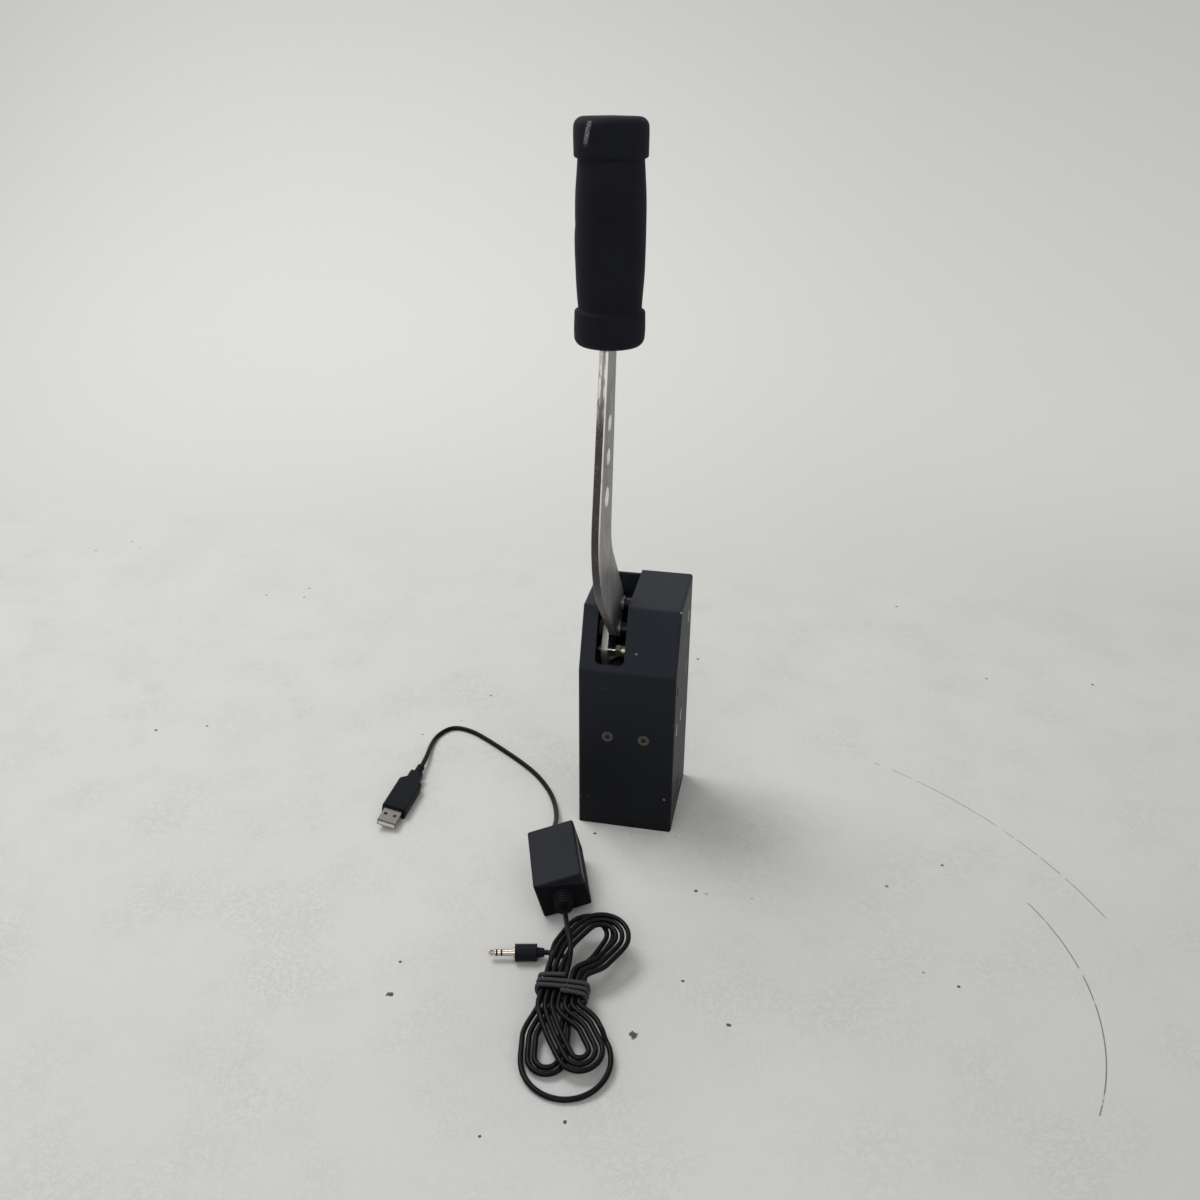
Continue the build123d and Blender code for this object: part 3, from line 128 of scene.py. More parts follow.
def length_prop(name, description, default):
    return bpy.props.FloatProperty(name=name, description=description, default=default,
                                   min=0.0, unit="LENGTH", subtype="DISTANCE", precision=5)


def colour_prop(name, description, default):
    return bpy.props.FloatVectorProperty(name=name, description=description, default=default,
                                         size=3, min=0.0, max=1.0, subtype="COLOR")


class HandbrakeSizes(bpy.types.PropertyGroup):
    """Sizes of the grip and the leads"""
    grip_flange: length_prop("Grip flange", "Diameter of the grip's end flanges", 0.038)
    grip_neck: length_prop("Grip neck", "Diameter of the grip beside its flanges", 0.0338)
    grip_belly: length_prop("Grip belly", "Diameter of the grip at its middle", 0.037)
    grip_bore: length_prop("Grip bore", "Diameter of the core inside the grip", 0.024)
    flange_height: length_prop("Flange height", "Height of each end flange", 0.019)
    usb_lead: length_prop("USB lead", "Diameter of the USB lead", 0.0032)
    jack_lead: length_prop("Jack lead", "Diameter of the jack lead", 0.0028)
    tie_wire: length_prop("Tie", "Thickness of the tie round the hank", 0.0022)


class HandbrakeColours(bpy.types.PropertyGroup):
    """Colours of the main finishes"""
    coat: colour_prop("Powder coat", "Black coat of the housing", (0.0080, 0.0095, 0.0130))
    steel: colour_prop("Lever steel", "Brushed steel of the lever", (0.31, 0.31, 0.31))
    foam: colour_prop("Foam", "Foam of the grip", (0.0056, 0.0062, 0.0098))
    plastic: colour_prop("Plastic", "Adapter and plugs", (0.0070, 0.0080, 0.0105))
    jacket: colour_prop("Jacket", "Jacket of the leads", (0.0027, 0.0030, 0.0038))
    floor: colour_prop("Floor", "Pale floor and backdrop", (0.565, 0.562, 0.548))


def sizes():
    return bpy.context.scene.handbrake_sizes


def colours():
    return bpy.context.scene.handbrake_colours


# ---- shader sums

class Wire:
    """A shader socket that can be used in sums."""

    def __init__(self, tree, socket):
        self.tree = tree
        self.socket = socket

    def sum_node(self, operation, first, second):
        node = self.tree.nodes.new("ShaderNodeMath")
        node.operation = operation
        for place, value in zip(node.inputs, (first, second)):
            if isinstance(value, Wire):
                self.tree.links.new(value.socket, place)
            else:
                place.default_value = value
        return Wire(self.tree, node.outputs[0])

    def __add__(self, other):
        return self.sum_node("ADD", self, other)

    def __radd__(self, other):
        return self.sum_node("ADD", other, self)

    def __sub__(self, other):
        return self.sum_node("SUBTRACT", self, other)

    def __rsub__(self, other):
        return self.sum_node("SUBTRACT", other, self)

    def __mul__(self, other):
        return self.sum_node("MULTIPLY", self, other)

    def __lt__(self, other):
        return self.sum_node("LESS_THAN", self, other)

    def __gt__(self, other):
        return self.sum_node("GREATER_THAN", self, other)

    def most(self, other):
        return self.sum_node("MAXIMUM", self, other)

    def least(self, other):
        return self.sum_node("MINIMUM", self, other)

    def size(self):
        return self.sum_node("ABSOLUTE", self, 0.0)


class Finish:
    """One material whose look is worked out by nodes, from places in the row frame."""

    def __init__(self, name):
        self.material = bpy.data.materials.new(name)
        self.material.use_nodes = True
        self.tree = self.material.node_tree
        self.shader = self.tree.nodes["Principled BSDF"]
        self.place = self.node("ShaderNodeTexCoord", out="Object")

    def node(self, kind, settings=None, inputs=None, out=0):
        """A new node with its settings and inputs; what it gives out is a Wire."""
        node = self.tree.nodes.new(kind)
        for key, value in (settings or {}).items():
            setattr(node, key, value)
        for key, value in (inputs or {}).items():
            if isinstance(value, Wire):
                self.tree.links.new(value.socket, node.inputs[key])
            else:
                node.inputs[key].default_value = value
        return Wire(self.tree, node.outputs[out])

    def stretched(self, amounts):
        """Places multiplied along each axis, so that a pattern runs in streaks."""
        return self.node("ShaderNodeVectorMath", {"operation": "MULTIPLY"},
                         {0: self.place, 1: amounts})

    def noise(self, scale, detail=2.0, rough=0.5, place=None):
        """Cloudy pattern from 0 to 1, with about scale clouds to a metre."""
        return self.node("ShaderNodeTexNoise", inputs={
            "Vector": place or self.place, "Scale": scale, "Detail": detail,
            "Roughness": rough}, out="Fac")

    def warped(self, scale, amount):
        """Places shifted by a slow noise, so that creases run in curves."""
        slow = self.node("ShaderNodeTexNoise", inputs={
            "Vector": self.place, "Scale": scale, "Detail": 2.0}, out="Color")
        moved = self.node("ShaderNodeVectorMath", {"operation": "SCALE"},
                          {0: slow, "Scale": amount})
        return self.node("ShaderNodeVectorMath", {"operation": "ADD"}, {0: self.place, 1: moved})

    def cells(self, scale):
        """Distance to the nearest of many scattered points, in cells."""
        return self.node("ShaderNodeTexVoronoi", inputs={
            "Vector": self.place, "Scale": scale}, out="Distance")

    def ramp(self, value, low, high):
        """0 up to low and 1 from high on, with a smooth rise between."""
        return self.node("ShaderNodeMapRange", {"interpolation_type": "SMOOTHSTEP"},
                         {"Value": value, "From Min": low, "From Max": high})

    def band(self, value, middle, core, rim):
        """1 where the value is within core of the middle, and 0 beyond rim."""
        return 1.0 - self.ramp((value - middle).size(), core, rim)

    def mix(self, first, second, factor):
        """First colour at factor 0 and second colour at factor 1."""
        def four(colour):
            return colour if isinstance(colour, Wire) else (*colour[:3], 1.0)
        return self.node("ShaderNodeMix", {"data_type": "RGBA"},
                         {0: factor, 6: four(first), 7: four(second)}, out=2)

    def distance(self, spot):
        return self.node("ShaderNodeVectorMath", {"operation": "DISTANCE"},
                         {0: self.place, 1: spot}, out="Value")

    def near(self, spot, radius, ragged, scale):
        """1 at a spot and 0 beyond its radius, with an uneven rim."""
        away = self.distance(spot) + (self.noise(scale, 3.0) - 0.5) * ragged
        return 1.0 - self.ramp(away, radius * 0.75, radius)

    def axis(self, name):
        return self.node("ShaderNodeSeparateXYZ", inputs={0: self.place}, out=name)

    def bump(self, height, strength, distance, under=None):
        """Relief from a height, on top of the relief under it."""
        inputs = {"Height": height, "Strength": strength, "Distance": distance}
        if under is not None:
            inputs["Normal"] = under
        return self.node("ShaderNodeBump", inputs=inputs, out="Normal")

    def end(self, fixed=None, **sockets):
        """Puts values and wires on the shader's sockets, and gives the material."""
        for key, value in {**(fixed or {}), **sockets}.items():
            place = self.shader.inputs[key.replace("_", " ")]
            if isinstance(value, Wire):
                self.tree.links.new(value.socket, place)
            else:
                place.default_value = value
        return self.material


def shade(colour, amount):
    """Colour made lighter or darker."""
    return tuple(min(1.0, part * amount) for part in colour[:3])


# ---- finishes

def powder_coat():
    """Fine-grained black coat with a worn corner, small chips and dust; painted light lightens it
    upwards and on the slope.
    """
    f = Finish("powder_coat")
    base = tuple(colours().coat)
    cloud = f.noise(22.0, 3.0)
    grain = f.noise(2400.0, 2.0, 0.6)
    rub = f.ramp(f.noise(90.0, 5.0, 0.65), 0.58, 0.75)
    height = f.axis("Z")
    tone = f.mix(shade(base, 0.5), shade(base, 0.7), cloud)
    # Painted light: lighter towards the top, and lighter again from the slope's foot up.
    tone = f.mix(tone, shade(base, 1.35), f.ramp(height, 0.02, 0.112))
    tone = f.mix(tone, shade(base, 2.0), f.ramp(height, SLOPE_FOOT_Z, SLOPE_FOOT_Z + 0.0015))
    tone = f.mix(tone, shade(base, 1.9), rub * 0.3)
    dust = f.ramp(0.085 - f.cells(210.0), 0.0, 0.02) * f.ramp(f.noise(60.0), 0.55, 0.62)
    tone = f.mix(tone, (0.16, 0.16, 0.16), dust * 0.75 * (height < 0.112))
    worn_corner = (0.0299, -0.0174, 0.1498)
    chips = f.near(worn_corner, 0.0013, 0.0010, 1500.0)
    for spot, radius in (((0.0253, HOUSING_FRONT_Y, 0.0247), 0.0009),
                         ((0.0046, -0.0278, 0.1243), 0.0009),
                         ((0.0296, HOUSING_FRONT_Y, 0.0800), 0.0006),
                         ((-0.0298, HOUSING_FRONT_Y, 0.1116), 0.0005)):
        chips = chips.most(f.near(spot, radius, 0.0007, 1600.0) * 0.45)
    tone = f.mix(tone, (0.34, 0.34, 0.33), chips)
    relief = f.bump(grain, 0.32, 0.00012)
    relief = f.bump(1.0 - chips, 0.5, 0.0002, relief)
    return f.end(Base_Color=tone, Roughness=0.50 + (grain - 0.5) * 0.24 + rub * 0.06,
                 Metallic=chips * 0.85, Normal=relief, fixed={"Specular IOR Level": 0.14})


def lever_steel():
    """Steel ground along its length, with a dark cut edge, a painted highlight on its rim and
    painted glints.
    """
    f = Finish("lever_steel")
    base = tuple(colours().steel)
    lines = f.noise(1.0, 3.0, 0.7, f.stretched((2600.0, 2600.0, 60.0)))
    broad = f.noise(1.0, 2.0, 0.5, f.stretched((600.0, 600.0, 14.0)))
    cloud = f.noise(38.0, 4.0, 0.6)
    bands = f.ramp(lines * 0.5 + broad * 0.5, 0.34, 0.66)
    tone = f.mix(shade(base, 0.40), shade(base, 1.38), bands)
    tone = f.mix(tone, (0.17, 0.155, 0.14), f.ramp(cloud, 0.48, 0.66) * 0.7)
    height = f.axis("Z")
    depth = LEVER_RIGHT_X - f.axis("X")
    cut_edge = f.mix((0.24, 0.22, 0.20), (0.075, 0.066, 0.068), f.ramp(height, 0.150, 0.178))
    patches = f.ramp(f.noise(1.0, 3.0, 0.6, f.stretched((1300.0, 30.0, 110.0))), 0.46, 0.62)
    groove = f.band(depth, LEVER_THICKNESS / 2, 0.0003, 0.0008)
    worn = f.mix((0.88, 0.86, 0.81), (0.30, 0.28, 0.26), patches)
    worn = f.mix(worn, (0.17, 0.16, 0.145), groove * 0.8)
    cut_edge = f.mix(cut_edge, worn, f.ramp(height + lines * 0.02, 0.272, 0.298))
    cut_edge = f.mix(cut_edge, (0.34, 0.32, 0.30), f.ramp(lines, 0.5, 0.75) * 0.4)
    left_face = depth > LEVER_THICKNESS - 0.00008
    faces = (1.0 - f.ramp(depth, 0.00045, 0.00055)).most(left_face)
    tone = f.mix(cut_edge, tone, faces)
    # Painted highlight: a near-white line along the cut edge next to the right face, broken by
    # the grinding lines, from about 0.17 m up.
    rim = f.ramp(depth, 0.00002, 0.0001) - f.ramp(depth, 0.0008, 0.00095)
    tone = f.mix(tone, (0.95, 0.94, 0.90), rim * f.ramp(lines, 0.2, 0.45)
                 * f.ramp(height, 0.170, 0.225))
    torn = f.ramp(f.noise(1100.0, 4.0, 0.75), 0.39, 0.43)
    glints = 0.0
    for y, z, radius in LEVER_HOLES:
        glints = f.near((LEVER_RIGHT_X, y, z), radius, 0.0022, 500.0).most(glints)
    glints = glints * torn
    tone = f.mix(tone, (1.0, 0.99, 0.96), glints)
    scuffs = f.ramp(f.noise(1.0, 4.0, 0.7, f.stretched((900.0, 240.0, 900.0))), 0.62, 0.7)
    by_holes = f.near((LEVER_RIGHT_X, -0.0300, 0.2430), 0.0420, 0.0160, 60.0)
    tone = f.mix(tone, shade(base, 2.0), scuffs * by_holes * 0.6)
    # Painted light: the lower part of the right face is made lighter, and less metallic.
    low = 1.0 - f.ramp(height, 0.140, 0.215)
    tone = f.mix(tone, f.mix(shade(base, 0.8), shade(base, 1.9), bands),
                 low * (depth < 0.0005) * 0.7)
    relief = f.bump(lines, 0.22, 0.00008)
    relief = f.bump(scuffs * by_holes, 0.2, 0.0001, relief)
    return f.end(Base_Color=tone, Metallic=1.0 - (glints * 0.97).most(low * 0.7),
                 Roughness=0.34 + lines * 0.16 + cloud * 0.08, Normal=relief)


def metal(name, base, rough, grain=1500.0, depth=0.1):
    """Plain machined metal with a fine grain and uneven shine."""
    f = Finish(name)
    fine = f.noise(grain, 3.0, 0.6)
    cloud = f.noise(130.0, 3.0)
    tone = f.mix(shade(base, 0.8), shade(base, 1.15), cloud)
    tone = f.mix(tone, shade(base, 0.55), f.ramp(fine, 0.62, 0.8) * 0.5)
    return f.end(Base_Color=tone, Metallic=1.0, Roughness=rough + (fine - 0.5) * 0.14,
                 Normal=f.bump(fine, depth, 0.00006))


def screw_metal():
    """Dull grey-brown steel; front heads: dark seat, painted shade and a painted glint; side
    heads: painted highlights.
    """
    f = Finish("screw_steel")
    fine = f.noise(2600.0, 3.0, 0.6)
    cloud = f.noise(420.0, 3.0)
    tone = f.mix((0.12, 0.114, 0.092), (0.22, 0.208, 0.170), cloud)
    tone = f.mix(tone, (0.05, 0.047, 0.040), f.ramp(fine, 0.55, 0.75))
    # Painted shade on the front heads: black in the socket and in the groove ring, and a nearly
    # black seat ring round each head.
    nearest = f.distance(FRONT_SCREWS[0]).least(f.distance(FRONT_SCREWS[1]))
    seat = f.ramp(nearest, 0.0031, 0.0034) * (nearest < 0.0056)
    groove = f.ramp(nearest, 0.0022, 0.0023) - f.ramp(nearest, 0.0028, 0.0029)
    middle = 1.0 - f.ramp(nearest, 0.0017, 0.0019)
    dark_seat_and_painted_shade = seat.most(groove * 0.9).most(middle)
    tone = f.mix(tone, (0.004, 0.004, 0.005), dark_seat_and_painted_shade)
    for x in (-0.0114, 0.0114):
        glint = f.near((x, HOUSING_FRONT_Y + 0.001, 0.0674), 0.0007, 0.0005, 1800.0)
        tone = f.mix(tone, (0.62, 0.61, 0.56), glint)
    # Painted highlights: a light crescent on one side of each side head's rim; inside the rims
    # the heads are darkened.
    rim_highlights = 0.0
    for y, z in SIDE_SCREWS:
        out = f.distance((HOUSING_RIGHT_X, y + 0.0012, z - 0.0004))
        rim_highlights = (f.ramp(out, 0.0034, 0.0038) * (out < 0.0052)).most(rim_highlights)
    side = f.axis("X") > HOUSING_RIGHT_X - 0.001
    tone = f.mix(tone, (0.09, 0.088, 0.085), side * (1.0 - rim_highlights) * 0.8)
    tone = f.mix(tone, (0.80, 0.79, 0.76), rim_highlights * 0.9)
    return f.end(Base_Color=tone, Metallic=0.8 - dark_seat_and_painted_shade * 0.8, Roughness=0.42 + fine * 0.16,
                 Normal=f.bump(fine, 0.15, 0.00006))


def arm_edge_steel():
    """Laser-cut steel with the fine lines of its cut edge, lightened to near white as a painted
    reflection.
    """
    f = Finish("cut_steel")
    lines = f.noise(1.0, 3.0, 0.7, f.stretched((2400.0, 260.0, 260.0)))
    # Painted reflection: the base colour is lightened to near white.
    tone = f.mix((0.86, 0.85, 0.80), (1.0, 0.99, 0.95), lines)
    return f.end(Base_Color=tone, Metallic=0.75, Roughness=0.26 + lines * 0.14,
                 Normal=f.bump(lines, 0.2, 0.00008))


def foam():
    """Dense black foam: fine open cells, faint pale flecks and one rubbed streak."""
    f = Finish("foam")
    base = tuple(colours().foam)
    pores = f.cells(1300.0)
    fine = f.noise(3200.0, 3.0, 0.7)
    cloud = f.noise(45.0, 3.0)
    tone = f.mix(shade(base, 0.75), shade(base, 1.5), cloud)
    tone = f.mix(tone, shade(base, 3.0), f.ramp(fine, 0.62, 0.8) * 0.6)
    flecks = f.ramp(0.11 - f.cells(420.0), 0.0, 0.03) * f.ramp(f.noise(120.0), 0.55, 0.62)
    tone = f.mix(tone, (0.055, 0.058, 0.065), flecks * 0.45)
    height = f.axis("Z")
    across = f.axis("X") * 0.97 - height * 0.22
    streak = f.band(across, -0.0245 * 0.97 - 0.411 * 0.22, 0.0004, 0.0017)
    streak = streak * (f.ramp(height, 0.4035, 0.4085) - f.ramp(height, 0.4150, 0.4165))
    streak = streak * (f.axis("Y") < -0.0165)
    broken = f.ramp(f.noise(1.0, 4.0, 0.8, f.stretched((2600.0, 2600.0, 900.0))), 0.46, 0.54)
    tone = f.mix(tone, (0.30, 0.30, 0.30), streak * broken * 0.9)
    relief = f.bump(pores, 0.35, 0.00022)
    relief = f.bump(fine, 0.3, 0.00010, relief)
    return f.end(Base_Color=tone, Roughness=0.86 - cloud * 0.06, Normal=relief,
                 fixed={"Specular IOR Level": 0.14, "Sheen Weight": 0.02,
                        "Sheen Roughness": 0.5})


def plastic(name, rough=0.42, texture=0.24, lid=None):
    """Spark-eroded black plastic with faint handling marks; painted light makes it lighter from
    the height lid up and darker below.
    """
    f = Finish(name)
    base = tuple(colours().plastic)
    grain = f.noise(2800.0, 2.0, 0.55)
    marks = f.ramp(f.noise(1.0, 4.0, 0.7, f.stretched((160.0, 420.0, 300.0))), 0.6, 0.72)
    tone = f.mix(shade(base, 0.85), shade(base, 1.35), f.noise(60.0, 2.0))
    tone = f.mix(tone, shade(base, 2.6), marks * 0.3)
    if lid is not None:
        # Painted light and shade: lighter from the lid's height up, where light falls on the top,
        # and darker on the sides below.
        painted_light_top = f.ramp(f.axis("Z"), lid, lid + 0.0012)
        tone = f.mix(f.mix(tone, shade(base, 0.3), 0.7), f.mix(tone, shade(base, 2.2), 0.7),
                     painted_light_top)
        side_rough = 0.75
        rough = side_rough - painted_light_top * (side_rough - rough)
    return f.end(Base_Color=tone, Roughness=rough + (grain - 0.5) * 0.2 + marks * 0.05,
                 Normal=f.bump(grain, texture, 0.00010), fixed={"Specular IOR Level": 0.08})


def pin_metal():
    """Nickel-plated pin with dark insulating rings."""
    f = Finish("pin_nickel")
    fine = f.noise(900.0, 3.0, 0.6)
    tone = f.mix((0.46, 0.41, 0.35), (0.66, 0.60, 0.52), fine)
    along = ((f.axis("X") - JACK_X) * math.cos(JACK_TURN)
             + (f.axis("Y") - JACK_Y) * math.sin(JACK_TURN))
    rings = 0.0
    for place in (-0.00725, -0.00995):
        rings = f.band(along, place, 0.00048, 0.00054).most(rings)
    tone = f.mix(tone, (0.010, 0.010, 0.012), rings)
    return f.end(Base_Color=tone, Metallic=1.0 - rings * 0.9, Roughness=0.26 + rings * 0.2,
                 Normal=f.bump(fine, 0.04, 0.00006))


def pale_plastic():
    """Ivory plastic with a fine grain."""
    f = Finish("pale_plastic")
    grain = f.noise(1800.0, 3.0, 0.6)
    tone = f.mix((0.56, 0.55, 0.51), (0.70, 0.69, 0.65), grain)
    return f.end(Base_Color=tone, Roughness=0.4 + (grain - 0.5) * 0.2,
                 Normal=f.bump(grain, 0.12, 0.00008))


def lead_jacket():
    """Satin jacket with a faint grain and a little dust."""
    f = Finish("lead_jacket")
    base = tuple(colours().jacket)
    grain = f.noise(1700.0, 3.0, 0.6)
    tone = f.mix(shade(base, 0.8), shade(base, 1.5), f.noise(70.0, 3.0))
    tone = f.mix(tone, shade(base, 3.2), f.ramp(grain, 0.66, 0.8) * 0.4)
    return f.end(Base_Color=tone, Roughness=0.34 + (grain - 0.5) * 0.2,
                 Normal=f.bump(grain, 0.14, 0.00008), fixed={"Specular IOR Level": 0.10})


def rubber():
    """Matte black moulded rubber."""
    f = Finish("moulded_rubber")
    grain = f.noise(2200.0, 3.0, 0.6)
    tone = f.mix((0.0040, 0.0043, 0.0050), (0.0070, 0.0074, 0.0084), f.noise(180.0, 3.0))
    return f.end(Base_Color=tone, Roughness=0.60 + (grain - 0.5) * 0.2,
                 Normal=f.bump(grain, 0.25, 0.00010), fixed={"Specular IOR Level": 0.10})


def tie_cloth():
    """Grey twisted tie: slanted strands with painted shade in the dark gaps."""
    f = Finish("tie_cloth")
    slant = f.node("ShaderNodeTexWave", {"wave_type": "BANDS", "bands_direction": "DIAGONAL"},
                   {"Vector": f.place, "Scale": 260.0, "Distortion": 1.2, "Detail": 2.0,
                    "Detail Scale": 2.0}, out="Fac")
    fine = f.noise(3000.0, 3.0, 0.7)
    # Painted shade: the gaps between the strands are darkened.
    tone = f.mix((0.008, 0.008, 0.0095), (0.034, 0.035, 0.039), slant)
    tone = f.mix(tone, (0.075, 0.075, 0.08), f.ramp(fine, 0.6, 0.8) * 0.4)
    return f.end(Base_Color=tone, Roughness=0.72 + fine * 0.12,
                 Normal=f.bump(slant, 0.4, 0.00025))


def circuit_board():
    """Green board with lighter tracks under its mask."""
    f = Finish("circuit_board")
    bricks = f.node("ShaderNodeTexBrick", inputs={
        "Vector": f.place, "Scale": 260.0, "Mortar Size": 0.04, "Color1": (0, 0, 0, 1),
        "Color2": (0.3, 0.3, 0.3, 1), "Mortar": (1, 1, 1, 1)}, out="Fac")
    tone = f.mix((0.008, 0.065, 0.03), (0.02, 0.16, 0.075), bricks)
    tone = f.mix(tone, (0.01, 0.05, 0.03), f.noise(200.0, 2.0))
    return f.end(Base_Color=tone, Roughness=0.32 + f.noise(900.0) * 0.12,
                 Normal=f.bump(bricks, 0.3, 0.0001), fixed={"Coat Weight": 0.3})


def elastomer_look():
    """Dark red elastomer."""
    f = Finish("elastomer")
    fine = f.noise(1500.0, 3.0, 0.6)
    tone = f.mix((0.26, 0.03, 0.018), (0.42, 0.055, 0.03), f.noise(120.0, 2.0))
    return f.end(Base_Color=tone, Roughness=0.42 + fine * 0.12,
                 Normal=f.bump(fine, 0.12, 0.0001))


def dress(material, *names):
    """Gives CAD nodes a finish."""
    for name in names:
        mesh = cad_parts[name].data
        mesh.materials.clear()
        mesh.materials.append(material)


# ---- routes of the leads

def row_points(points):
    """Places in metres from places in millimetres."""
    return [Vector(point) * MM for point in points]


def smooth_curve(name, points, diameter, material, detail):
    """Round lead on one smooth spline that the points control."""
    data = bpy.data.curves.new(name, "CURVE")
    data.dimensions = "3D"
    spline = data.splines.new("NURBS")
    spline.points.add(len(points) - 1)
    for place, point in zip(spline.points, points):
        place.co = (*point, 1.0)
    spline.order_u = 3
    spline.use_endpoint_u = True
    spline.resolution_u = 6
    data.bevel_depth = diameter / 2
    data.bevel_resolution = detail
    data.use_fill_caps = True
    data.materials.append(material)
    piece = bpy.data.objects.new(name, data)
    bpy.context.scene.collection.objects.link(piece)
    return piece


def waist_x(side, turn):
    """Sideways place of a strand at the hank's waist."""
    return side * turn * HANK_STEP + (HANK_STEP / 2 if side > 0 else 0.0)


def lobe_frame(upper, level):
    """Sideways and outward directions of a lobe in the hank's plane."""
    leans = (UPPER if upper else LOWER)[0]
    angle = math.radians(leans[1] if level < LAYER_STEP / 2 else leans[0])
    across = Vector((math.cos(angle), -math.sin(angle)))
    along = Vector((math.sin(angle), math.cos(angle)))
    return across, (along if upper else -along)


def lobe_point(upper, side, turn, along, level):
    """Place of a strand on one side of a lobe, at a distance from the waist."""
    across, out = lobe_frame(upper, level)
    _, _, radius, _, shift = UPPER if upper else LOWER
    return across * (side * (radius + turn * HANK_STEP) + shift) + out * along


def left_of(direction):
    """Direction a quarter turn to the left."""
    return Vector((-direction.y, direction.x))


def bend_corners(start, leave, end, arrive):
    """Two corner points of the bend between two places and directions."""
    v = end - start
    span = v.dot(leave + arrive)
    close = 1.0 - leave.dot(arrive)
    reach = (math.sqrt(span * span + 2 * close * v.dot(v)) - span) / (2 * close)
    return start + leave * reach, end - arrive * reach


def bend_points(start, leave, end, arrive, offset):
    """Corner points of the bend between waist and lobe, moved to a strand's own track."""
    corners = bend_corners(start, leave, end, arrive)
    through = (corners[1] - corners[0]).normalized()
    moved = []
    for corner, before, after in ((corners[0], leave, through), (corners[1], through, arrive)):
        shift = (left_of(before) + left_of(after)) / (1.0 + before.dot(after))
        moved.append(corner + shift * offset)
    return moved


def arc_points(start, leave, end, count):
    """Corner points round the arc that leaves a place in a direction."""
    chord = end - start
    half = math.atan2(left_of(leave).dot(chord), leave.dot(chord))
    step = 2 * half / count
    reach = chord.length / (2 * math.sin(half))
    centre = start + left_of(leave) * reach
    spoke = (start - centre) / math.cos(step / 2)
    found = []
    for i in range(count):
        turned = (i + 0.5) * step
        found.append(centre + Vector((spoke.x * math.cos(turned) - spoke.y * math.sin(turned),
                                      spoke.x * math.sin(turned) + spoke.y * math.cos(turned))))
    return found


def lobe_points(upper, side, turn_in, turn_out, level_in, level_out):
    """Points of one strand from the waist, round a lobe and back to the waist."""
    _, reach, _, run, _ = UPPER if upper else LOWER
    leave = lobe_frame(upper, level_in)[1]
    arrive = -lobe_frame(upper, level_out)[1]
    start = reach - run
    waist_y = WAIST_HALF if upper else -WAIST_HALF
    away = Vector((0.0, 1.0 if upper else -1.0))
    middle = HANK_TURNS / 2
    flat = [(Vector((waist_x(side, turn_in), waist_y)), level_in)]
    flat += [(p, level_in) for p in bend_points(
        Vector((waist_x(side, middle), waist_y)), away,
        lobe_point(upper, side, middle, start, level_in), leave,
        (turn_in - middle) * HANK_STEP)]
    flat.append((lobe_point(upper, side, turn_in, start, level_in), level_in))
    far_in = lobe_point(upper, side, turn_in, reach, level_in)
    far_out = lobe_point(upper, -side, turn_out, reach, level_out)
    if level_in == level_out:
        flat += [(p, level_out) for p in arc_points(far_in, leave, far_out, 8)]
    else:
        halfway = (flat[-1][0] + far_in) / 2
        flat += [(halfway.lerp(far_in, -0.5), level_in), (halfway.lerp(far_in, 0.5), level_out)]
        corners = bend_corners(far_in, leave, far_out, arrive)
        middle_place = (corners[0] + corners[1]) / 2
        through = (corners[1] - corners[0]).normalized()
        flat += [(p, level_out) for p in arc_points(far_in, leave, middle_place, 5)]
        flat += [(p, level_out) for p in arc_points(middle_place, through, far_out, 5)]
    flat.append((lobe_point(upper, -side, turn_out, start, level_out), level_out))
    flat += [(p, level_out) for p in bend_points(
        lobe_point(upper, -side, middle, start, level_out), arrive,
        Vector((waist_x(-side, middle), waist_y)), -away, (turn_out - middle) * HANK_STEP)]
    flat.append((Vector((waist_x(-side, turn_out), waist_y)), level_out))
    return flat


def hank_points():
    """Control points of the whole hank: outwards above, and inwards again below."""
    top, half = LAYER_STEP, WAIST_HALF
    found = [(Vector((waist_x(1, 0), half)), top), (Vector((waist_x(1, 0), 0.0)), top)]
    turn, level, side, upper, growing = 0.0, top, 1, False, True
    for _ in range(4 * HANK_TURNS - 1):
        following = turn + 0.5 if growing else turn - 0.5
        next_level = level
        if growing and turn >= HANK_TURNS:
            growing, following, next_level = False, turn - 0.5, 0.0
        found += lobe_points(upper, side, turn, following, level, next_level)
        turn, level, side = following, next_level, -side
        found.append((Vector((waist_x(side, turn), 0.0)), level))
        upper = not upper
    found.append((Vector((waist_x(side, turn), half)), level))
    return [HANK @ Vector((p.x, p.y, z)) for p, z in found]


def spaced(points, close):
    """Leaves out points that lie on the one before."""
    kept = []
    for point in points:
        if not kept or (point - kept[-1]).length > close:
            kept.append(point)
    return kept


# ---- operators, one for each piece or group

class HandbrakeOperator:
    bl_options = {"REGISTER", "UNDO"}


class HANDBRAKE_OT_camera(HandbrakeOperator, bpy.types.Operator):
    """Stands the camera where the photographer stood"""
    bl_idname = "handbrake.camera"
    bl_label = "Camera"

    def execute(self, context):
        data = bpy.data.cameras.new("camera")
        data.sensor_width = 36.0
        data.lens = CAMERA_LENS
        data.clip_start = 0.01
        camera = bpy.data.objects.new("camera", data)
        context.scene.collection.objects.link(camera)
        forward = Vector(CAMERA_FORWARD).normalized()
        right = Vector(CAMERA_RIGHT).normalized()
        up = right.cross(forward).normalized()
        rolled_right = right * math.cos(CAMERA_ROLL) + up * math.sin(CAMERA_ROLL)
        rolled_up = up * math.cos(CAMERA_ROLL) - right * math.sin(CAMERA_ROLL)
        turned = Matrix((rolled_right, rolled_up, -forward)).transposed().to_4x4()
        camera.matrix_world = Matrix.Translation(CAMERA_PLACE) @ turned
        context.scene.camera = camera
        return {"FINISHED"}


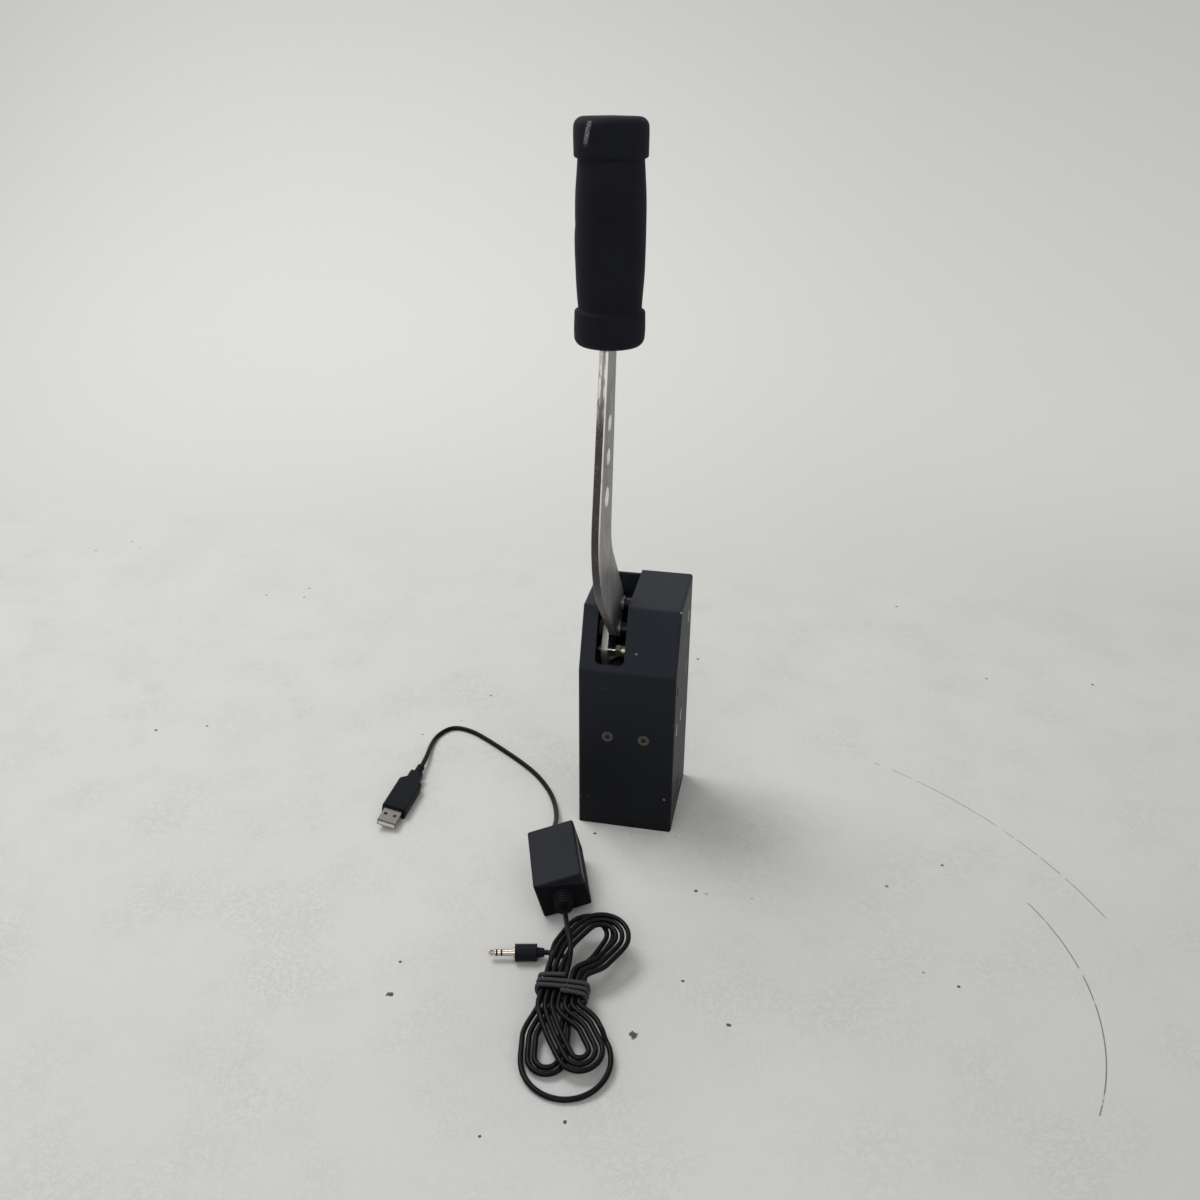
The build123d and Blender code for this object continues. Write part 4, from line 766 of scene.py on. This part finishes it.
class HANDBRAKE_OT_leads(HandbrakeOperator, bpy.types.Operator):
    """Lays the USB lead, the hanked jack lead and the hank's tie"""
    bl_idname = "handbrake.leads"
    bl_label = "Leads"

    def execute(self, context):
        jacket = lead_jacket()
        half_w, half_h = ADAPTER_WIDTH / 2, ADAPTER_HEIGHT / 2
        leave = ADAPTER_LENGTH + 0.0008
        start = ADAPTER @ Vector((half_w, leave, half_h))
        usb = [start, ADAPTER @ Vector((half_w, leave + 0.010, half_h))]
        usb += row_points(USB_ROUTE)
        usb += [PLUG @ Vector((-0.061, 0, 0)), PLUG @ Vector((-0.051, 0, 0))]
        lead = smooth_curve("usb_lead_jacket", usb, sizes().usb_lead, jacket, 6)
        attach(lead, "base")
        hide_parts("usb_lead")

        start = ADAPTER @ Vector((half_w, -0.010, half_h))
        jack = [start, ADAPTER @ Vector((half_w, -0.014, half_h))] + row_points(JACK_ROUTE)
        run_out = WAIST_HALF + 0.0045
        jack.append(HANK @ Vector((waist_x(1, 0), run_out, LAYER_STEP)))
        jack += hank_points()
        jack.append(HANK @ Vector((waist_x(-1, 0.5), run_out, 0)))
        jack += row_points(TAIL_ROUTE)
        jack += [JACK @ Vector((0.020, 0, 0)), JACK @ Vector((0.016, 0, 0))]
        jack = spaced(jack, 0.0004)
        lead = smooth_curve("jack_lead_jacket", jack, sizes().jack_lead, jacket, 4)
        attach(lead, "base")
        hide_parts("jack_lead", "jack_lead_hank", "jack_lead_tail")
        tie = self.tie()
        return {"FINISHED"}

    def tie(self):
        """Three turns of the tie round the hank's waist, as one strand."""
        wire = sizes().tie_wire
        slack = 0.0005
        out = sizes().jack_lead / 2 + slack + wire / 2
        right, left = waist_x(1, HANK_TURNS) + out, waist_x(-1, HANK_TURNS - 0.5) - out
        high, low, pitch, turns = LAYER_STEP + out, -out, 0.0032, 3
        soft = out * 0.586
        y = -pitch * turns / 2
        middle = (left + right) / 2
        points = [Vector((middle, y, high))]
        for _ in range(turns):
            after = y + pitch / 2
            points += [Vector((right - soft, y, high)), Vector((right, y, high - soft)),
                       Vector((right, y, low + soft)), Vector((right - soft, y, low)),
                       Vector((left + soft, after, low)), Vector((left, after, low + soft)),
                       Vector((left, after, high - soft)), Vector((left + soft, after, high))]
            y += pitch
        points.append(Vector((middle, y, high)))
        piece = smooth_curve("tie_strand", [HANK @ p for p in points], wire, tie_cloth(), 4)
        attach(piece, "base")
        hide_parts("hank_tie")
        return piece


class HANDBRAKE_OT_grip(HandbrakeOperator, bpy.types.Operator):
    """Makes the foam grip with its flanges, its crowned top and a small dent"""
    bl_idname = "handbrake.grip"
    bl_label = "Grip"

    def corner(self, middle, height, radius, angles):
        """Points round a corner; 0 degrees is outwards and 90 degrees is upwards."""
        return [(middle + radius * math.cos(math.radians(angle)),
                 height + radius * math.sin(math.radians(angle))) for angle in angles]

    def profile(self, height):
        """Radius and height of each point of the grip's outline, from its bore to its top."""
        flange, neck = sizes().grip_flange / 2, sizes().grip_neck / 2
        belly, rim = sizes().grip_belly / 2, sizes().flange_height
        high = height - rim
        big, small = 0.005, 0.0012
        lip = flange - small - 0.0001
        points = [(sizes().grip_bore / 2, 0.0008), (flange - big - 0.0002, 0.0)]
        points += self.corner(flange - big, big, big, [90 * i / 7 - 90 for i in range(1, 8)])
        points += [(flange + 0.0001, rim * 0.45), (flange, rim * 0.7),
                   (flange - 0.0001, rim - small)]
        points += self.corner(lip, rim - small, small, [22.5, 45.0, 67.5, 90.0])
        points += [(neck + 0.0008, rim + 0.0001), (neck + 0.0001, rim + 0.0005)]
        for i in range(1, 28):
            share = i / 28
            swell = (belly - neck) * math.sin(math.pi * share) ** 0.8
            points.append((neck + swell, rim + (height - 2 * rim) * share))
        points += [(neck + 0.0001, high - 0.0005), (neck + 0.0008, high - 0.0001)]
        points += self.corner(lip, high + small, small, [-90.0, -67.5, -45.0, -22.5])
        points += [(flange - 0.0001, high + small), (flange, high + rim * 0.35),
                   (flange + 0.0001, high + rim * 0.6)]
        points += self.corner(flange - big, height - big, big, [90 * i / 7 for i in range(8)])
        crown = 0.0004
        for share in (0.85, 0.65, 0.45, 0.25, 0.1):
            points.append(((flange - big) * share, height + crown * (1 - share)))
        return points

    def execute(self, context):
        low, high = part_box("grip_foam")
        centre = (low + high) / 2
        points = self.profile(high.z - low.z)
        around = 96
        uneven = random.Random(7)
        waves = [(uneven.uniform(0, 6.28), uneven.uniform(0, 6.28)) for _ in range(5)]
        dent_angle, dent_z, dent_depth = math.radians(192), 0.0615, 0.0007
        verts, faces = [], []
        for radius, z in points:
            for k in range(around):
                a = 2 * math.pi * k / around
                swell = sum(math.sin((n + 2) * a + p + z * 60 * (n + 1) + q)
                            for n, (p, q) in enumerate(waves)) * 0.00004
                dent = math.exp(-((a - dent_angle) / 0.09) ** 2
                                - ((z - dent_z) / 0.0016) ** 2) * dent_depth
                r = radius + (swell - dent if radius > 0.008 else 0.0)
                verts.append((centre.x + r * math.cos(a), centre.y + r * math.sin(a), low.z + z))
        for i in range(len(points) - 1):
            for k in range(around):
                n = (k + 1) % around
                faces.append((i * around + k, i * around + n,
                              (i + 1) * around + n, (i + 1) * around + k))
        faces.append(tuple((len(points) - 1) * around + k for k in range(around)))
        mesh = bpy.data.meshes.new("foam_grip")
        mesh.from_pydata(verts, [], faces)
        mesh.shade_smooth()
        mesh.materials.append(foam())
        grip = bpy.data.objects.new("foam_grip", mesh)
        context.scene.collection.objects.link(grip)
        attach(grip, "lever")
        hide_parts("grip_foam")
        return {"FINISHED"}


class HANDBRAKE_OT_housing(HandbrakeOperator, bpy.types.Operator):
    """Coats the housing and its cover, and dresses the blocks and screws in them"""
    bl_idname = "handbrake.housing"
    bl_label = "Housing"

    def execute(self, context):
        dress(powder_coat(), "housing_shell", "rear_cover")
        dress(screw_metal(), "front_screws", "block_side_screws", "base_side_screws",
              "cover_side_screws", "rear_screws", "axle_screws", "board_screws")
        dress(metal("plain_aluminium", (0.62, 0.62, 0.63), 0.4), "base_block")
        dress(metal("shaded_aluminium", (0.10, 0.10, 0.10), 0.5), "load_block", "axle_spacers")
        dress(circuit_board(), "signal_board", "adapter_board")
        dress(rubber(), "rest_stop", "adapter_strain_relief", "adapter_grommet")
        return {"FINISHED"}


class HANDBRAKE_OT_lever(HandbrakeOperator, bpy.types.Operator):
    """Brushes the lever and brightens its arm with a painted reflection"""
    bl_idname = "handbrake.lever"
    bl_label = "Lever"

    def execute(self, context):
        dress(lever_steel(), "lever_plate")
        dress(arm_edge_steel(), "arm_plate")
        dress(metal("bright_steel", (0.78, 0.77, 0.73), 0.26), "follower_bolt")
        dress(metal("dull_steel", (0.09, 0.09, 0.09), 0.45), "hub", "pivot_axle")
        dress(metal("washer_steel", (0.26, 0.26, 0.25), 0.4), "clamp_washers")
        dress(metal("black_screws", (0.035, 0.035, 0.038), 0.36), "clamp_screws",
              "follower_clip")
        dress(metal("zinc_nut", (0.60, 0.64, 0.54), 0.4), "follower_nut", "clamp_nuts")
        dress(plastic("grip_core"), "grip_core")
        return {"FINISHED"}


class HANDBRAKE_OT_mechanism(HandbrakeOperator, bpy.types.Operator):
    """Dresses the roller, plunger, load cell and bushes, and makes the spring and elastomer"""
    bl_idname = "handbrake.mechanism"
    bl_label = "Mechanism"

    def execute(self, context):
        dress(metal("brass", (0.55, 0.50, 0.33), 0.42), "follower_roller", "board_standoffs")
        dress(metal("bronze", (0.45, 0.28, 0.14), 0.42), "hub_bushes", "guide_bush")
        dress(metal("ground_steel", (0.14, 0.14, 0.14), 0.4), "load_cell")
        # Painted shade: the plunger is darkened to near black.
        dress(metal("painted_shade_steel", (0.022, 0.022, 0.022), 0.6), "plunger")
        self.shortened("spring_coil", "return_spring", "bright_steel",
                       metal("spring_steel", (0.12, 0.12, 0.12), 0.4))
        self.shortened("brake_elastomer", "elastomer", "red_elastomer", elastomer_look())
        return {"FINISHED"}

    def shortened(self, name, node, slot, material):
        """Copy of a soft solid with its own mesh and finish."""
        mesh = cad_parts[node].data.copy()
        mesh.materials.clear()
        mesh.materials.append(material)
        piece = bpy.data.objects.new(name, mesh)
        bpy.context.scene.collection.objects.link(piece)
        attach(piece, "base")
        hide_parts(node)
        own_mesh(piece)


class HANDBRAKE_OT_plugs(HandbrakeOperator, bpy.types.Operator):
    """Dresses the adapter, the USB plug and the jack plug"""
    bl_idname = "handbrake.plugs"
    bl_label = "Adapter and plugs"

    def execute(self, context):
        dress(plastic("adapter_plastic", 0.4, 0.3, ADAPTER_LID_Z), "adapter_lower_shell",
              "adapter_upper_shell")
        dress(plastic("plug_plastic", 0.46, 0.2), "usb_plug_body", "jack_plug_body",
              "jack_insulators", "lead_socket")
        dress(pale_plastic(), "usb_tongue")
        dress(metal("plug_shell", (0.33, 0.315, 0.295), 0.22, 900.0, 0.05), "usb_shell")
        dress(metal("gold_contact", (0.78, 0.62, 0.36), 0.2, 900.0, 0.04), "usb_contacts")
        dress(pin_metal(), "jack_contacts")
        return {"FINISHED"}


class HANDBRAKE_OT_stage(HandbrakeOperator, bpy.types.Operator):
    """Lays the pale floor and backdrop and lights them softly"""
    bl_idname = "handbrake.stage"
    bl_label = "Stage"

    def floor_look(self):
        """Pale hide-like sheet: creases, soft stains, some crumbs and two long scratches, with
        painted light and shade.
        """
        f = Finish("pale_floor")
        base = tuple(colours().floor)
        x, y = f.axis("X"), f.axis("Y")
        nearer = y * -1.0
        tone = f.mix(shade(base, 0.97), shade(base, 1.03), f.noise(3.0, 3.0))
        # Painted light and shade: darker towards the camera and on the right near the front,
        # lighter up the backdrop and most on its right.
        tone = f.mix(tone, shade(base, 0.88), f.ramp(nearer, 0.05, 0.42) * 0.5)
        tone = f.mix(tone, shade(base, 0.78),
                     f.ramp(x, 0.0, 0.45) * f.ramp(nearer, -0.3, 0.3) * 0.6)
        tone = f.mix(tone, shade(base, 1.12), f.ramp(y, 0.40, 0.90))
        tone = f.mix(tone, shade(base, 1.20), f.ramp(y, 0.30, 0.80) * f.ramp(x, 0.05, 0.80))
        # Painted shadow: a soft dark patch on the floor round the hank.
        painted_shadow_by_hank = 1.0 - f.ramp(f.distance((0.010, -0.190, 0.0)), 0.02, 0.13)
        tone = f.mix(tone, shade(base, 0.80), painted_shadow_by_hank * 0.6)
        flat = 1.0 - f.ramp(y, 0.30, 0.50)
        stains = f.ramp(f.noise(26.0, 5.0, 0.6), 0.52, 0.72)
        tone = f.mix(tone, shade(base, 0.90), stains * flat * 0.4)
        folds = (f.noise(190.0, 5.0, 0.65, f.warped(9.0, 0.05)) - 0.5).size()
        creased = (1.0 - f.ramp(folds, 0.0, 0.06)) * f.ramp(f.noise(16.0, 3.0), 0.36, 0.70)
        # Painted shade: darker along the creases.
        tone = f.mix(tone, shade(base, 0.85), creased * flat * 0.45)
        pores = f.ramp(f.noise(620.0, 3.0, 0.7), 0.5, 0.66)
        tone = f.mix(tone, shade(base, 0.93), pores * flat * 0.5)
        marks = f.ramp(0.075 - f.cells(55.0), 0.0, 0.02) * f.ramp(f.noise(7.0), 0.58, 0.62) * flat
        for spot, radius in CRUMBS:
            marks = marks.most(f.near(spot, radius, radius * 1.9, 520.0))
        for centre, radius, wide, low, high in SCRATCHES:
            line = f.band(f.distance(centre), radius, wide * 0.4, wide)
            line = line * (x > 0.160) * (y < high) * (y > low)
            marks = marks.most(line * f.ramp(f.noise(90.0, 3.0), 0.34, 0.46) * 0.75)
        tone = f.mix(tone, shade(base, 0.05), marks * 0.92)
        relief = f.bump(creased * flat, 0.35, 0.0004)
        relief = f.bump(f.noise(420.0, 4.0, 0.6), 0.25, 0.0004, relief)
        return f.end(Base_Color=tone, Roughness=0.72, Normal=relief,
                     fixed={"Specular IOR Level": 0.25})

    def execute(self, context):
        look = self.floor_look()
        curve = [(FLOOR_FRONT, 0.0), (BEND_START, 0.0)]
        for i in range(1, 13):
            a = math.radians(90 * i / 12)
            curve.append((BEND_START + BEND_RADIUS * math.sin(a),
                          BEND_RADIUS - BEND_RADIUS * math.cos(a)))
        curve.append((BEND_START + BEND_RADIUS, BACKDROP_TOP))
        verts = [(x, y, z) for y, z in curve for x in (-FLOOR_HALF_WIDTH, FLOOR_HALF_WIDTH)]
        faces = [(2 * i, 2 * i + 1, 2 * i + 3, 2 * i + 2) for i in range(len(curve) - 1)]
        mesh = bpy.data.meshes.new("floor")
        mesh.from_pydata(verts, [], faces)
        mesh.shade_smooth()
        mesh.materials.append(look)
        floor = bpy.data.objects.new("floor", mesh)
        context.scene.collection.objects.link(floor)
        for name, spot, size, power in LAMPS:
            data = bpy.data.lights.new(name, "AREA")
            data.shape = "SQUARE"
            data.size = size
            data.energy = power
            lamp = bpy.data.objects.new(name, data)
            context.scene.collection.objects.link(lamp)
            lamp.location = spot
            aim = Vector(LAMPS_AIM) - Vector(spot)
            lamp.rotation_euler = aim.to_track_quat("-Z", "Y").to_euler()
        world = bpy.data.worlds.new("soft_room")
        world.use_nodes = True
        sky = world.node_tree.nodes["Background"]
        sky.inputs["Color"].default_value = (0.80, 0.80, 0.79, 1.0)
        sky.inputs["Strength"].default_value = 0.55
        context.scene.world = world
        context.scene.view_settings.view_transform = "Standard"
        return {"FINISHED"}


class HANDBRAKE_PT_pieces(bpy.types.Panel):
    """Lists the sizes, the colours and the pieces"""
    bl_idname = "HANDBRAKE_PT_pieces"
    bl_label = "Handbrake"
    bl_space_type = "VIEW_3D"
    bl_region_type = "UI"
    bl_category = "Handbrake"

    def draw(self, context):
        for group in (context.scene.handbrake_sizes, context.scene.handbrake_colours):
            box = self.layout.box()
            for key in group.__annotations__:
                box.prop(group, key)
        for operator in PIECES:
            self.layout.operator(operator.bl_idname)


PIECES = (HANDBRAKE_OT_camera, HANDBRAKE_OT_leads, HANDBRAKE_OT_grip, HANDBRAKE_OT_housing,
          HANDBRAKE_OT_lever, HANDBRAKE_OT_mechanism, HANDBRAKE_OT_plugs, HANDBRAKE_OT_stage)
CLASSES = (HandbrakeSizes, HandbrakeColours) + PIECES + (HANDBRAKE_PT_pieces,)


def register():
    for made in CLASSES:
        bpy.utils.register_class(made)
    bpy.types.Scene.handbrake_sizes = bpy.props.PointerProperty(type=HandbrakeSizes)
    bpy.types.Scene.handbrake_colours = bpy.props.PointerProperty(type=HandbrakeColours)


def unregister():
    del bpy.types.Scene.handbrake_colours
    del bpy.types.Scene.handbrake_sizes
    for made in reversed(CLASSES):
        bpy.utils.unregister_class(made)


def main():
    register()
    bpy.ops.handbrake.camera()
    bpy.ops.handbrake.leads()
    bpy.ops.handbrake.grip()
    bpy.ops.handbrake.housing()
    bpy.ops.handbrake.lever()
    bpy.ops.handbrake.mechanism()
    bpy.ops.handbrake.plugs()
    bpy.ops.handbrake.stage()


if __name__ == "__main__":
    main()
